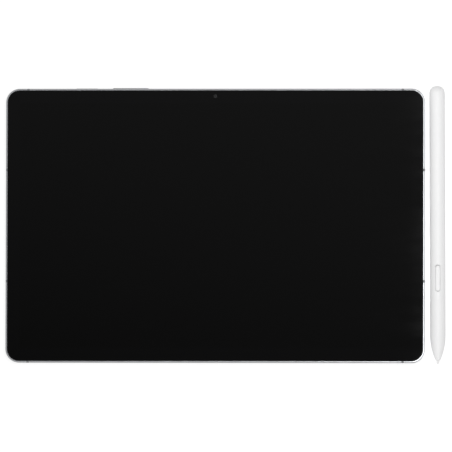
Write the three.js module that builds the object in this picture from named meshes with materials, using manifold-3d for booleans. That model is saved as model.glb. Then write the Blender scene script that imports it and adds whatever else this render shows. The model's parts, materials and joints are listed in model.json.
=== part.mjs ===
// An 11-inch tablet computer lying screen up, with its pen beside it. All sizes are in millimetres.
//
// Frame: +X runs along the long side, +Y points to the long edge that carries the keys, and +Z points out
// of the screen. The origin is the centre of the flat back face, so the back lies in the plane Z = 0.

import * as THREE from 'three';
import { mergeVertices } from 'three/addons/utils/BufferGeometryUtils.js';
import Module from 'manifold-3d';

const wasm = await Module();
wasm.setup();

// ---- Driving dimensions --------------------------------------------------------------------------------

// Outline of the housing, seen from the front.
const WIDTH = 254;
const HEIGHT = 166;
const CORNER_RADIUS = 8.3;
const HALF_X = WIDTH / 2;
const HALF_Y = HEIGHT / 2;

// Heights above the back face, from the back to the glass.
const FLOOR_TOP = 0.7;
const GRAPHITE_BOTTOM = 3.85;
const PANEL_BOTTOM = 3.95;
const LEDGE_TOP = 5.15;
const GLASS_BOTTOM = 5.3;
const LIP_TOP = 5.6;
const GLASS_TOP = 5.9;

// Edge profile of the housing.
const BACK_ROUND = 1.4;
const FRONT_ROUND_HEIGHT = 1;
const FRONT_ROUND_INSET = 0.75;
const SIDE_MIDDLE = 3;
const WALL = 3;
const INNER_X = HALF_X - WALL;
const INNER_Y = HALF_Y - WALL;
const INNER_RADIUS = CORNER_RADIUS - WALL;

// Glass, and the pocket that it sits in.
const POCKET_INSET = 0.95;
const GLASS_INSET = 1.05;
const GLASS_EDGE_ROUND = 0.3;
const GASKET_INSET = 1.25;

// Display.
const PANEL_WIDTH = 238.5;
const PANEL_HEIGHT = 150;
const PANEL_RADIUS = 3;

// Antenna breaks: the plastic that splits the wall.
const BREAK_WIDTH = 1.5;
const BREAK_X = 113.5;
const BREAK_Y = 33.7;

// Keys on the top edge. A key is a capsule that comes through the wall from a wider flange inside.
const KEY_CLEARANCE = 0.1;
const KEY_FLANGE_OVERHANG = 1;
const KEY_HEIGHT = 2;
const KEY_BACK = INNER_Y - 1;
const POWER_X = -77.9;
const POWER_LENGTH = 13.4;
const POWER_PROUD = 0.21;
const POWER_FLANGE_GAP = 0.1;
const VOLUME_X = -51.4;
const VOLUME_LENGTH = 21.5;
const VOLUME_PROUD = 0.46;
const VOLUME_FLANGE_GAP = 0.4;
const SWITCH_GAP = 0.3;
const SWITCH_LENGTH = 3;
const SWITCH_THICK = 0.5;
const SWITCH_TOP = 3.75;
const SWITCH_BOTTOM = 2.25;
const VOLUME_SWITCH_SPACING = 12;
const KEY_FLEX_THICK = 0.3;
const KEY_RAIL_THICK = 0.8;
const KEY_RAIL_TOP = 3.75;
const KEY_RAIL_FACE = KEY_BACK - SWITCH_GAP - SWITCH_THICK - KEY_FLEX_THICK;
const KEY_FLEX_LEFT = POWER_X - POWER_LENGTH / 2;
const KEY_FLEX_RIGHT = VOLUME_X + VOLUME_LENGTH / 2;

// Card tray, on the top edge beside the volume rocker.
const TRAY_X = -25;
const TRAY_DOOR_LENGTH = 15.6;
const TRAY_DOOR_HEIGHT = 2.2;
const TRAY_DOOR_THICK = 1;
const TRAY_WIDTH = 13.6;
const TRAY_THICK = 0.8;
const TRAY_LENGTH = 18;
const TRAY_WINDOW_WIDTH = 11;
const TRAY_WINDOW_LENGTH = 12;
const TRAY_WINDOW_FROM_DOOR = 4;
const EJECT_HOLE_RADIUS = 0.45;
const EJECT_HOLE_X = TRAY_X + 7;
const CAGE_WALL = 0.2;
const CAGE_WIDTH = 16.6;
const CAGE_DEPTH = 17;
const CAGE_TOP = 3.75;
const CAGE_MOUTH_Y = INNER_Y - 0.4;

// USB-C socket, at the middle of the right edge.
const USB_WIDTH = 8.94;
const USB_HEIGHT = 3;
const USB_WALL_SIDE = 0.28;
const USB_WALL_TOP = 0.22;
const USB_FRONT = HALF_X - 0.3;
const USB_BACK = 119.6;
const USB_BACK_PLATE = 0.3;
const USB_OPENING_CLEARANCE = 0.08;
const TONGUE_LENGTH = 5;
const TONGUE_WIDTH = 6.7;
const TONGUE_THICK = 0.7;

// Speakers, two at each short edge, and the slots in front of them.
const SPEAKER_Y = 50;
const SPEAKER_LENGTH = 24;
const SPEAKER_DEPTH = 12.6;
const SPEAKER_TOP = 3.7;
const SPEAKER_GAP_TO_WALL = 1.4;
const SNOUT_LENGTH = 17;
const SNOUT_DEPTH = 1.1;
const SNOUT_BOTTOM = 2.2;
const SOUND_PORT_LENGTH = 15;
const SOUND_PORT_DEPTH = 3;
const SOUND_PORT_HEIGHT = 0.8;
const GRILLE_SLOT_LENGTH = 18;
const GRILLE_SLOT_HEIGHT = 1.5;
const GRILLE_CLEARANCE = 0.1;
const GRILLE_RECESS = 0.3;
const GRILLE_THICK = 0.6;

// Keyboard contacts, at the middle of the bottom edge.
const CONTACT_BLOCK_LENGTH = 22;
const CONTACT_BLOCK_HEIGHT = 1.7;
const CONTACT_LENGTH = 4.2;
const CONTACT_HEIGHT = 0.9;
const CONTACT_SPACING = 6.4;
const CONTACT_DEPTH = 0.5;
const CONTACT_RECESS = 0.05;
const CONTACT_CLEARANCE = 0.05;

// Microphone holes.
const MIC_RADIUS = 0.4;
const MIC_TOP_X = 34;
const MIC_BOTTOM_X = -62;

// Rear cameras, behind the corner beside the power key, and the flash.
const CAMERA_Y = 69.5;
const MAIN_CAMERA_X = -113.5;
const WIDE_CAMERA_X = -98.5;
const RING_OUTER = 6.2;
const RING_PROUD = 0.7;
const RING_NECK_OUTER = 5.3;
const RING_NECK_TOP = 0.6;
const RING_HOLE = 5.6;
const RING_SEAT = 4.7;
const RING_SEAT_Z = -0.2;
const RING_BORE = 3.9;
const RING_CHAMFER = 0.25;
const CAMERA_GLASS_RADIUS = 4.55;
const CAMERA_GLASS_THICK = 0.4;
const MAIN_MODULE_SIZE = 12.6;
const WIDE_MODULE_SIZE = 11.6;
const MODULE_TOP = 3.7;
const LENS_BORE = 3.3;
const LENS_BORE_TOP = 3.2;
const FOCUS_LENS_RADIUS = 3;
const FOCUS_LENS_BOTTOM = 1.1;
const FOCUS_LENS_TOP = 2.4;
const FOCUS_LENS_DISH = 0.5;
const FLASH_X = -88;
const FLASH_RADIUS = 1.9;
const FLASH_HOLE = 2.05;
const FLASH_BOTTOM = 0.1;
const FLASH_TOP = 1.1;

// Front camera, under the border of the glass at the middle of the top edge.
const FRONT_CAMERA_Y = 78.4;
const FRONT_CAMERA_WIDTH = 6;
const FRONT_CAMERA_DEPTH = 5.4;
const FRONT_CAMERA_TOP = 4.6;
const FRONT_CAMERA_BARREL_RADIUS = 1.3;
const FRONT_CAMERA_BARREL_TOP = 5.25;
const FRONT_CAMERA_CLEARANCE = 0.3;
const PEDESTAL_TOP = 2.1;

// Strip on the back where the pen docks.
const DOCK_X = 4;
const DOCK_LENGTH = 168;
const DOCK_WIDTH = 9;
const DOCK_THICK = 0.35;
const DOCK_CLEARANCE = 0.1;

// Main board: a leg beside the left cell, and an arm along the top edge. It carries two shield cans.
const BOARD_BOTTOM = 1.3;
const BOARD_TOP = 2.1;
const LEG_LEFT = -108;
const LEG_RIGHT = -82;
const LEG_BOTTOM = -50;
const LEG_TOP = 61;
const ARM_LEFT = -84;
const ARM_RIGHT = 20;
const ARM_BOTTOM = 56;
const ARM_TOP = 74.5;
const CAN_TOP = 3.5;
const PROCESSOR_CAN = { x: -95, y: 14, width: 24, depth: 24 };
const RADIO_CAN = { x: -62, y: 65, width: 30, depth: 14 };

// USB board, notched round the socket, and the ribbon from it to the main board.
const USB_BOARD_LEFT = 96;
const USB_BOARD_RIGHT = 123;
const USB_BOARD_HALF = 18;
const USB_NOTCH_CLEARANCE = 0.3;
const FLEX_THICK = 0.2;
const RIBBON_WIDTH = 6;
const RIBBON_LEFT = -100;
const RIBBON_RIGHT = 106;
const RIBBON_BOTTOM = -76;
const RIBBON_LAP = 6;

// The ribbon from the main board up to the display, which runs along X.
const DISPLAY_FLEX_Y = -39;
const DISPLAY_FLEX_WIDTH = 10;
const DISPLAY_FLEX_START_X = -105;
const DISPLAY_FLEX_LAP = 6;
const DISPLAY_FLEX_CLIMB = 5;

// Graphite sheet on the back of the display, and the two cells.
const GRAPHITE_LEFT = -78;
const GRAPHITE_RIGHT = 115;
const GRAPHITE_HALF_DEPTH = 71;
const BATTERY_TOP = 3.7;
const BATTERY_WIDTH = 82;
const BATTERY_DEPTH = 116;
const BATTERY_Y = -6;
const BATTERY_LEFT_X = -37;
const BATTERY_RIGHT_X = 49;

// Board screws and their bosses on the floor.
const SCREW_PLACES = [[-96, 55], [-86, -44], [14, 62]];
const SCREW_HEAD_RADIUS = 1.3;
const SCREW_HEAD_THICK = 0.5;
const SCREW_SHANK_RADIUS = 0.7;
const SCREW_HOLE_RADIUS = 1;
const SCREW_BOTTOM = 0.75;
const BOSS_RADIUS = 2;
const BOSS_HOLE_BOTTOM = 0.5;

// The pen lies on the surface that the camera rings stand on, almost parallel to Y.
const PEN_X = 134.5;
const PEN_RADIUS = 4.65;
const PEN_BORE = 3.7;
const PEN_Z = PEN_RADIUS - RING_PROUD;
const PEN_ROLL = THREE.MathUtils.degToRad(2.5);
const PEN_TURN = THREE.MathUtils.degToRad(0.24);
const PEN_CAP_Y = 79.6;
const PEN_END_Y = 84.6;
const PEN_TAPER_Y = -66;
const PEN_CONE_END_Y = -81.5;
const PEN_NIB_Y = -83.4;
const PEN_CAP_SQUARENESS = 0.86;
const PEN_CONE_SMALL_RADIUS = 1.15;
const PEN_CONE_FULLNESS = 0.84;
const PEN_CONE_SQUARENESS = 0.97;
const PEN_SPIGOT_RADIUS = 3.4;
const PEN_SPIGOT_LENGTH = 4;
const NIB_RADIUS = 0.75;
const NIB_FLAT_RADIUS = 0.45;
const NIB_FLAT_LENGTH = 0.1;
const NIB_ROUND_LENGTH = 0.5;
const NIB_BORE = 1.05;
const NIB_BACK_Y = -61;
const COIL_RADIUS = 2.6;
const COIL_FRONT_Y = -60.4;
const COIL_BACK_Y = -46;
const PEN_BOARD_WIDTH = 4.8;
const PEN_BOARD_THICK = 1;
const PEN_BOARD_END_Y = 60;
const PEN_BUTTON_Y = -31.9;
const PEN_BUTTON_WIDTH = 2.9;
const PEN_BUTTON_LENGTH = 15.6;
const PEN_BUTTON_PROUD = 0.15;
const PEN_BUTTON_CLEARANCE = 0.12;
const PEN_BUTTON_FLANGE_WIDTH = 3.6;
const PEN_BUTTON_FLANGE_LENGTH = 16.6;
const PEN_BUTTON_FLANGE_BOTTOM = 2.4;
const PEN_BUTTON_FLANGE_TOP = 2.8;

// Smoothness: segments of a quarter turn on outlines, of half a turn at the ends of capsules, and of a
// whole turn on round parts. Edge steps are the rows of facets across a rounded edge.
const QUARTER_SEGMENTS = 8;
const CAPSULE_END_SEGMENTS = 8;
const ROUND_SEGMENTS = 28;
const SMALL_ROUND_SEGMENTS = 16;
const EDGE_STEPS = 4;
const PEN_END_STEPS = 8;

// ---- Materials -----------------------------------------------------------------------------------------

function finish(color, roughness, metalness) {
  return new THREE.MeshStandardMaterial({ color, roughness, metalness });
}

const aluminium = () => finish(0xb9bbbe, 0.38, 1);
const steel = () => finish(0xc9cbcd, 0.3, 1);
const brass = () => finish(0xc8a25a, 0.35, 1);
const plasticGrey = () => finish(0x7d7f82, 0.55, 0);
const plasticBlack = () => finish(0x17181a, 0.6, 0);
const whitePlastic = () => finish(0xeceae8, 0.5, 0);
const nibRubber = () => finish(0xe4e4e2, 0.7, 0);
const blackGlass = () => finish(0x08090a, 0.06, 0);
const lensGlass = () => finish(0x0c1016, 0.05, 0);
const clearPlastic = () => finish(0xe8e4d4, 0.25, 0);
const boardGreen = () => finish(0x1f4a38, 0.55, 0);
const flexAmber = () => finish(0x8a5a1c, 0.5, 0);
const cellFoil = () => finish(0x2a2c30, 0.45, 0);
const graphite = () => finish(0x3a3a3c, 0.7, 0.3);
const adhesive = () => finish(0x101011, 0.8, 0);
const clearAdhesive = () => finish(0xd8dadc, 0.3, 0);

// ---- Geometry helpers ----------------------------------------------------------------------------------

const X_AXIS = new THREE.Vector3(1, 0, 0);
const Y_AXIS = new THREE.Vector3(0, 1, 0);
const Z_AXIS = new THREE.Vector3(0, 0, 1);

// Each matrix turns a shape that was made along Z, or around Y, to another axis without rounding errors.
const Z_TO_X = new THREE.Matrix4().makeBasis(Y_AXIS, Z_AXIS, X_AXIS);
const Z_TO_Y = new THREE.Matrix4().makeBasis(X_AXIS, Z_AXIS.clone().negate(), Y_AXIS);
const Y_TO_Z = new THREE.Matrix4().makeBasis(X_AXIS, Z_AXIS, Y_AXIS.clone().negate());

// A closed geometry as a manifold solid.
function solid(geometry) {
  const bare = geometry.clone();
  bare.deleteAttribute('normal');
  bare.deleteAttribute('uv');
  const merged = mergeVertices(bare);
  return new wasm.Manifold(new wasm.Mesh({
    numProp: 3,
    vertProperties: new Float32Array(merged.getAttribute('position').array),
    triVerts: new Uint32Array(merged.index.array),
  }));
}

// A manifold solid as a geometry.
function geometryOf(body) {
  const mesh = body.getMesh();
  const geometry = new THREE.BufferGeometry();
  geometry.setAttribute('position', new THREE.BufferAttribute(mesh.vertProperties, 3));
  geometry.setIndex(new THREE.BufferAttribute(mesh.triVerts, 1));
  geometry.computeVertexNormals();
  return geometry;
}

// The first geometry joined with the others.
function joined(first, ...others) {
  return geometryOf(others.reduce((body, other) => body.add(solid(other)), solid(first)));
}

// The first geometry with the others cut out of it.
function cut(first, ...others) {
  return geometryOf(others.reduce((body, other) => body.subtract(solid(other)), solid(first)));
}

// The part of the first geometry that lies inside the second.
function common(first, second) {
  return geometryOf(solid(first).intersect(solid(second)));
}

// A box between two corners.
function box(low, high) {
  const size = high.map((value, axis) => value - low[axis]);
  const middle = high.map((value, axis) => (value + low[axis]) / 2);
  return new THREE.BoxGeometry(...size).translate(...middle);
}

// A box that stands on height z, centred on x and y.
function blockOn(z, [sizeX, sizeY, sizeZ], x = 0, y = 0) {
  return box([x - sizeX / 2, y - sizeY / 2, z], [x + sizeX / 2, y + sizeY / 2, z + sizeZ]);
}

// A rectangle with round corners.
function roundedRectangle(halfX, halfY, radius) {
  const shape = new THREE.Shape();
  const x = halfX - radius;
  const y = halfY - radius;
  const quarter = Math.PI / 2;
  shape.absarc(x, -y, radius, -quarter, 0, false);
  shape.absarc(x, y, radius, 0, quarter, false);
  shape.absarc(-x, y, radius, quarter, 2 * quarter, false);
  shape.absarc(-x, -y, radius, 2 * quarter, 3 * quarter, false);
  return shape;
}

// A slot shape with half-round ends.
function capsule(length, height) {
  const radius = height / 2;
  const reach = length / 2 - radius;
  const shape = new THREE.Shape();
  shape.absarc(reach, 0, radius, -Math.PI / 2, Math.PI / 2, false);
  shape.absarc(-reach, 0, radius, Math.PI / 2, 1.5 * Math.PI, false);
  return shape;
}

// A shape drawn on X and Y and raised from one height to another. Each arc gets the stated segments.
function raised(shape, from, to, arcSegments = QUARTER_SEGMENTS) {
  const options = { depth: to - from, bevelEnabled: false, curveSegments: arcSegments / 2 };
  return new THREE.ExtrudeGeometry(shape, options).translate(0, 0, from);
}

function raisedCapsule(length, height, from, to) {
  return raised(capsule(length, height), from, to, CAPSULE_END_SEGMENTS);
}

// A disc or a cylinder with its axis along Z.
function disc(radius, from, to, x = 0, y = 0, segments = SMALL_ROUND_SEGMENTS) {
  const geometry = new THREE.CylinderGeometry(radius, radius, to - from, segments);
  return geometry.applyMatrix4(Y_TO_Z).translate(x, y, (from + to) / 2);
}

// A body turned around Y from a closed outline of [radius, y] points, drawn anticlockwise.
function turned(outline, segments = ROUND_SEGMENTS) {
  return new THREE.LatheGeometry(outline.map(([radius, y]) => new THREE.Vector2(radius, y)), segments);
}

const turnedAroundZ = (outline, segments) => turned(outline, segments).applyMatrix4(Y_TO_Z);

// The points of a rounded rectangle at one height.
function ring(halfX, halfY, radius, z) {
  const points = [];
  const corners = [[1, -1], [1, 1], [-1, 1], [-1, -1]];
  corners.forEach(([signX, signY], corner) => {
    for (let step = 0; step <= QUARTER_SEGMENTS; step += 1) {
      const angle = (corner - 1 + step / QUARTER_SEGMENTS) * (Math.PI / 2);
      const x = signX * (halfX - radius) + radius * Math.cos(angle);
      const y = signY * (halfY - radius) + radius * Math.sin(angle);
      points.push([x, y, z]);
    }
  });
  return points;
}

// A slab with shaped edges: rings of a rounded rectangle, each moved in from the outline by its own inset.
function slab(halfX, halfY, radius, levels) {
  const rings = levels.map(({ z, inset }) => ring(halfX - inset, halfY - inset, radius - inset, z));
  const count = rings[0].length;
  const positions = rings.flat(2);
  const lastRing = (rings.length - 1) * count;
  const bottomCentre = rings.length * count;
  const topCentre = bottomCentre + 1;
  positions.push(0, 0, levels[0].z, 0, 0, levels.at(-1).z);
  const faces = [];
  for (let i = 0; i < count; i += 1) {
    const next = (i + 1) % count;
    for (let level = 0; level + 1 < rings.length; level += 1) {
      const low = level * count;
      const high = low + count;
      faces.push(low + i, low + next, high + next);
      faces.push(low + i, high + next, high + i);
    }
    faces.push(bottomCentre, next, i);
    faces.push(topCentre, lastRing + i, lastRing + next);
  }
  const geometry = new THREE.BufferGeometry();
  geometry.setAttribute('position', new THREE.Float32BufferAttribute(positions, 3));
  geometry.setIndex(faces);
  geometry.computeVertexNormals();
  return geometry;
}

// Levels of a quarter round: at step 0 the edge is at startZ, and it ends a height away, moved in by inset.
function quarterRound(startZ, height, inset) {
  const levels = [];
  for (let step = 1; step <= EDGE_STEPS; step += 1) {
    const angle = (step / EDGE_STEPS) * (Math.PI / 2);
    levels.push({ z: startZ + height * Math.sin(angle), inset: inset * (1 - Math.cos(angle)) });
  }
  return levels;
}

// ---- Housing -------------------------------------------------------------------------------------------

// The outside of the housing with nothing cut out of it.
function outerBody() {
  const backEdge = quarterRound(BACK_ROUND, -BACK_ROUND, BACK_ROUND).reverse();
  const sideTop = LIP_TOP - FRONT_ROUND_HEIGHT;
  const frontEdge = quarterRound(sideTop, FRONT_ROUND_HEIGHT, FRONT_ROUND_INSET);
  const side = [{ z: BACK_ROUND, inset: 0 }, { z: sideTop, inset: 0 }];
  return slab(HALF_X, HALF_Y, CORNER_RADIUS, [...backEdge, ...side, ...frontEdge]);
}

// The pocket for the glass, open to the front.
function glassPocket() {
  const shape = roundedRectangle(
    HALF_X - POCKET_INSET,
    HALF_Y - POCKET_INSET,
    CORNER_RADIUS - POCKET_INSET,
  );
  return raised(shape, LEDGE_TOP, GLASS_TOP + 1);
}

// A block of wall at a place along the top edge (side 1) or the bottom edge (side -1).
function blockInLongEdge(x, side) {
  const y = side * (INNER_Y + HALF_Y + 1) / 2;
  return blockOn(-1, [BREAK_WIDTH, HALF_Y + 1 - INNER_Y, GLASS_TOP + 1], x, y);
}

// A block of wall at a place along the right edge (side 1) or the left edge (side -1).
function blockInShortEdge(y, side) {
  const x = side * (INNER_X + HALF_X + 1) / 2;
  return blockOn(-1, [HALF_X + 1 - INNER_X, BREAK_WIDTH, GLASS_TOP + 1], x, y);
}

// The block of wall that each antenna break takes the place of, with the break's name.
const breakBlocks = [
  ['antenna_break_top_left', blockInLongEdge(-BREAK_X, 1)],
  ['antenna_break_top_right', blockInLongEdge(BREAK_X, 1)],
  ['antenna_break_bottom_left', blockInLongEdge(-BREAK_X, -1)],
  ['antenna_break_bottom_right', blockInLongEdge(BREAK_X, -1)],
  ['antenna_break_left_upper', blockInShortEdge(BREAK_Y, -1)],
  ['antenna_break_left_lower', blockInShortEdge(-BREAK_Y, -1)],
  ['antenna_break_right_upper', blockInShortEdge(BREAK_Y, 1)],
  ['antenna_break_right_lower', blockInShortEdge(-BREAK_Y, 1)],
];

// A capsule hole through the wall of the top edge.
function topEdgeSlot(x, length, height) {
  return raisedCapsule(length, height, INNER_Y - 1, HALF_Y + 1)
    .applyMatrix4(Z_TO_Y)
    .translate(x, 0, SIDE_MIDDLE);
}

// A capsule hole through the wall of the right edge, or of the left one where sign is -1.
function sideSlot(sign, y, length, height) {
  const halfDepth = (HALF_X - INNER_X) / 2 + 1;
  return raisedCapsule(length, height, -halfDepth, halfDepth)
    .applyMatrix4(Z_TO_X)
    .translate(sign * (HALF_X + INNER_X) / 2, y, SIDE_MIDDLE);
}

// A microphone hole through the wall at the inner face y, which is INNER_Y or -INNER_Y.
function micHole(x, y) {
  const halfDepth = WALL + 1;
  return disc(MIC_RADIUS, -halfDepth, halfDepth)
    .applyMatrix4(Z_TO_Y)
    .translate(x, y, SIDE_MIDDLE);
}

const grillePlaces = [
  ['left_lower', -1, -SPEAKER_Y],
  ['left_upper', -1, SPEAKER_Y],
  ['right_lower', 1, -SPEAKER_Y],
  ['right_upper', 1, SPEAKER_Y],
];

// Everything that goes through the side walls.
function wallOpenings() {
  const usbLength = USB_WIDTH + 2 * USB_OPENING_CLEARANCE;
  const usbHeight = USB_HEIGHT + 2 * USB_OPENING_CLEARANCE;
  const contactHalf = CONTACT_BLOCK_LENGTH / 2;
  const contactLow = SIDE_MIDDLE - CONTACT_BLOCK_HEIGHT / 2;
  return [
    topEdgeSlot(POWER_X, POWER_LENGTH + 2 * KEY_CLEARANCE, KEY_HEIGHT + 2 * KEY_CLEARANCE),
    topEdgeSlot(VOLUME_X, VOLUME_LENGTH + 2 * KEY_CLEARANCE, KEY_HEIGHT + 2 * KEY_CLEARANCE),
    topEdgeSlot(TRAY_X, TRAY_DOOR_LENGTH + 2 * KEY_CLEARANCE, TRAY_DOOR_HEIGHT + 2 * KEY_CLEARANCE),
    sideSlot(1, 0, usbLength, usbHeight),
    ...grillePlaces.map(([, sign, y]) => sideSlot(sign, y, GRILLE_SLOT_LENGTH, GRILLE_SLOT_HEIGHT)),
    box(
      [-contactHalf, -HALF_Y - 1, contactLow],
      [contactHalf, -INNER_Y + 1, contactLow + CONTACT_BLOCK_HEIGHT],
    ),
    micHole(MIC_TOP_X, INNER_Y),
    micHole(MIC_BOTTOM_X, -INNER_Y),
  ];
}

// Everything that goes into the back.
function backOpenings() {
  const dock = raisedCapsule(
    DOCK_LENGTH + 2 * DOCK_CLEARANCE,
    DOCK_WIDTH + 2 * DOCK_CLEARANCE,
    -1,
    DOCK_THICK,
  );
  return [
    disc(RING_HOLE, -1, FLOOR_TOP + 1, MAIN_CAMERA_X, CAMERA_Y, ROUND_SEGMENTS),
    disc(RING_HOLE, -1, FLOOR_TOP + 1, WIDE_CAMERA_X, CAMERA_Y, ROUND_SEGMENTS),
    disc(FLASH_HOLE, -1, FLOOR_TOP + 1, FLASH_X, CAMERA_Y),
    dock.translate(DOCK_X, CAMERA_Y, 0),
  ];
}

// The room for the front camera in the wall of the top edge.
function frontCameraPocket() {
  const reach = FRONT_CAMERA_Y + FRONT_CAMERA_DEPTH / 2 + FRONT_CAMERA_CLEARANCE;
  const half = FRONT_CAMERA_WIDTH / 2 + FRONT_CAMERA_CLEARANCE;
  return box([-half, INNER_Y - 1, PEDESTAL_TOP], [half, reach, GLASS_TOP]);
}

// Everything that stands on the floor as one piece with the housing.
function floorFeatures() {
  const root = FLOOR_TOP - 0.2;
  const half = FRONT_CAMERA_WIDTH / 2;
  const pedestal = box(
    [-half, FRONT_CAMERA_Y - FRONT_CAMERA_DEPTH / 2, root],
    [half, INNER_Y + 1, PEDESTAL_TOP],
  );
  const keyRail = box(
    [KEY_FLEX_LEFT, KEY_RAIL_FACE - KEY_RAIL_THICK, root],
    [KEY_FLEX_RIGHT, KEY_RAIL_FACE, KEY_RAIL_TOP],
  );
  const bosses = SCREW_PLACES.map(([x, y]) => disc(BOSS_RADIUS, root, BOARD_BOTTOM, x, y));
  return [pedestal, keyRail, ...bosses];
}

const bossHole = ([x, y]) => disc(SCREW_HOLE_RADIUS, BOSS_HOLE_BOTTOM, BOARD_BOTTOM + 1, x, y);

function housing() {
  const cavity = raised(roundedRectangle(INNER_X, INNER_Y, INNER_RADIUS), FLOOR_TOP, GLASS_TOP + 1);
  const tub = cut(outerBody(), cavity, glassPocket());
  return cut(
    joined(tub, ...floorFeatures()),
    frontCameraPocket(),
    ...SCREW_PLACES.map(bossHole),
    ...breakBlocks.map(([, block]) => block),
    ...wallOpenings(),
    ...backOpenings(),
  );
}

// ---- Front: glass, display and what holds them ---------------------------------------------------------

function coverGlass() {
  const sideTop = GLASS_TOP - GLASS_EDGE_ROUND;
  return slab(HALF_X - GLASS_INSET, HALF_Y - GLASS_INSET, CORNER_RADIUS - GLASS_INSET, [
    { z: GLASS_BOTTOM, inset: 0 },
    { z: sideTop, inset: 0 },
    ...quarterRound(sideTop, GLASS_EDGE_ROUND, GLASS_EDGE_ROUND),
  ]);
}

function glassGasket() {
  const shape = roundedRectangle(HALF_X - GASKET_INSET, HALF_Y - GASKET_INSET, CORNER_RADIUS - GASKET_INSET);
  shape.holes.push(roundedRectangle(INNER_X, INNER_Y, INNER_RADIUS));
  return raised(shape, LEDGE_TOP, GLASS_BOTTOM);
}

const panelShape = () => roundedRectangle(PANEL_WIDTH / 2, PANEL_HEIGHT / 2, PANEL_RADIUS);
const displayPanel = () => raised(panelShape(), PANEL_BOTTOM, LEDGE_TOP);
const opticalAdhesive = () => raised(panelShape(), LEDGE_TOP, GLASS_BOTTOM);

function graphiteSheet() {
  return box(
    [GRAPHITE_LEFT, -GRAPHITE_HALF_DEPTH, GRAPHITE_BOTTOM],
    [GRAPHITE_RIGHT, GRAPHITE_HALF_DEPTH, PANEL_BOTTOM],
  );
}

// A square body with a round barrel that looks up through the glass.
function frontCamera() {
  const size = [FRONT_CAMERA_WIDTH, FRONT_CAMERA_DEPTH, FRONT_CAMERA_TOP - PEDESTAL_TOP];
  const barrelBottom = FRONT_CAMERA_TOP - 1;
  return joined(
    blockOn(PEDESTAL_TOP, size, 0, FRONT_CAMERA_Y),
    disc(FRONT_CAMERA_BARREL_RADIUS, barrelBottom, FRONT_CAMERA_BARREL_TOP, 0, FRONT_CAMERA_Y),
  );
}

// ---- Rear cameras --------------------------------------------------------------------------------------

// The metal ring: a flange on the back face, a neck through the floor, and a seat for the glass.
function cameraRing() {
  return turnedAroundZ([
    [RING_SEAT, -RING_PROUD],
    [RING_OUTER - RING_CHAMFER, -RING_PROUD],
    [RING_OUTER, RING_CHAMFER - RING_PROUD],
    [RING_OUTER, 0],
    [RING_NECK_OUTER, 0],
    [RING_NECK_OUTER, RING_NECK_TOP],
    [RING_BORE, RING_NECK_TOP],
    [RING_BORE, RING_SEAT_Z],
    [RING_SEAT, RING_SEAT_Z],
    [RING_SEAT, -RING_PROUD],
  ]);
}

function cameraGlass() {
  return disc(CAMERA_GLASS_RADIUS, RING_SEAT_Z - CAMERA_GLASS_THICK, RING_SEAT_Z, 0, 0, ROUND_SEGMENTS);
}

// A camera module: a square body on the floor with a round bore that looks out of the back. The bore is
// deep where a lens moves in it, and shallow where the lens is fixed.
function cameraModule(size, boreTop) {
  const body = blockOn(FLOOR_TOP, [size, size, MODULE_TOP - FLOOR_TOP]);
  return cut(body, disc(LENS_BORE, 0, boreTop));
}

// The lens barrel that moves to focus, with a dished front.
function focusLens() {
  return turnedAroundZ([
    [0, FOCUS_LENS_BOTTOM + FOCUS_LENS_DISH],
    [FOCUS_LENS_RADIUS / 2, FOCUS_LENS_BOTTOM],
    [FOCUS_LENS_RADIUS, FOCUS_LENS_BOTTOM],
    [FOCUS_LENS_RADIUS, FOCUS_LENS_TOP],
    [0, FOCUS_LENS_TOP],
  ], SMALL_ROUND_SEGMENTS);
}

const flashLens = () => disc(FLASH_RADIUS, FLASH_BOTTOM, FLASH_TOP);
const penDockStrip = () => raisedCapsule(DOCK_LENGTH, DOCK_WIDTH, 0, DOCK_THICK);

// ---- Keys ----------------------------------------------------------------------------------------------

// A key in its own frame: its middle is the origin of X and Z, and Y is measured in the tablet's frame.
function key(length, proud, flangeGap) {
  const flangeLength = length + 2 * KEY_FLANGE_OVERHANG;
  const flangeHeight = KEY_HEIGHT + KEY_FLANGE_OVERHANG;
  return joined(
    raisedCapsule(length, KEY_HEIGHT, KEY_BACK, HALF_Y + proud),
    raisedCapsule(flangeLength, flangeHeight, KEY_BACK, INNER_Y - flangeGap),
  ).applyMatrix4(Z_TO_Y);
}

// The flex along the rail, with a switch behind the power key and one behind each half of the rocker.
function keyFlex() {
  const front = KEY_RAIL_FACE + KEY_FLEX_THICK;
  const strip = box([KEY_FLEX_LEFT, KEY_RAIL_FACE, BOARD_BOTTOM], [KEY_FLEX_RIGHT, front, KEY_RAIL_TOP]);
  const halfSpacing = VOLUME_SWITCH_SPACING / 2;
  const switches = [POWER_X, VOLUME_X - halfSpacing, VOLUME_X + halfSpacing].map((x) => box(
    [x - SWITCH_LENGTH / 2, KEY_RAIL_FACE, SWITCH_BOTTOM],
    [x + SWITCH_LENGTH / 2, front + SWITCH_THICK, SWITCH_TOP],
  ));
  return joined(strip, ...switches);
}

// ---- Card tray -----------------------------------------------------------------------------------------

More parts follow.
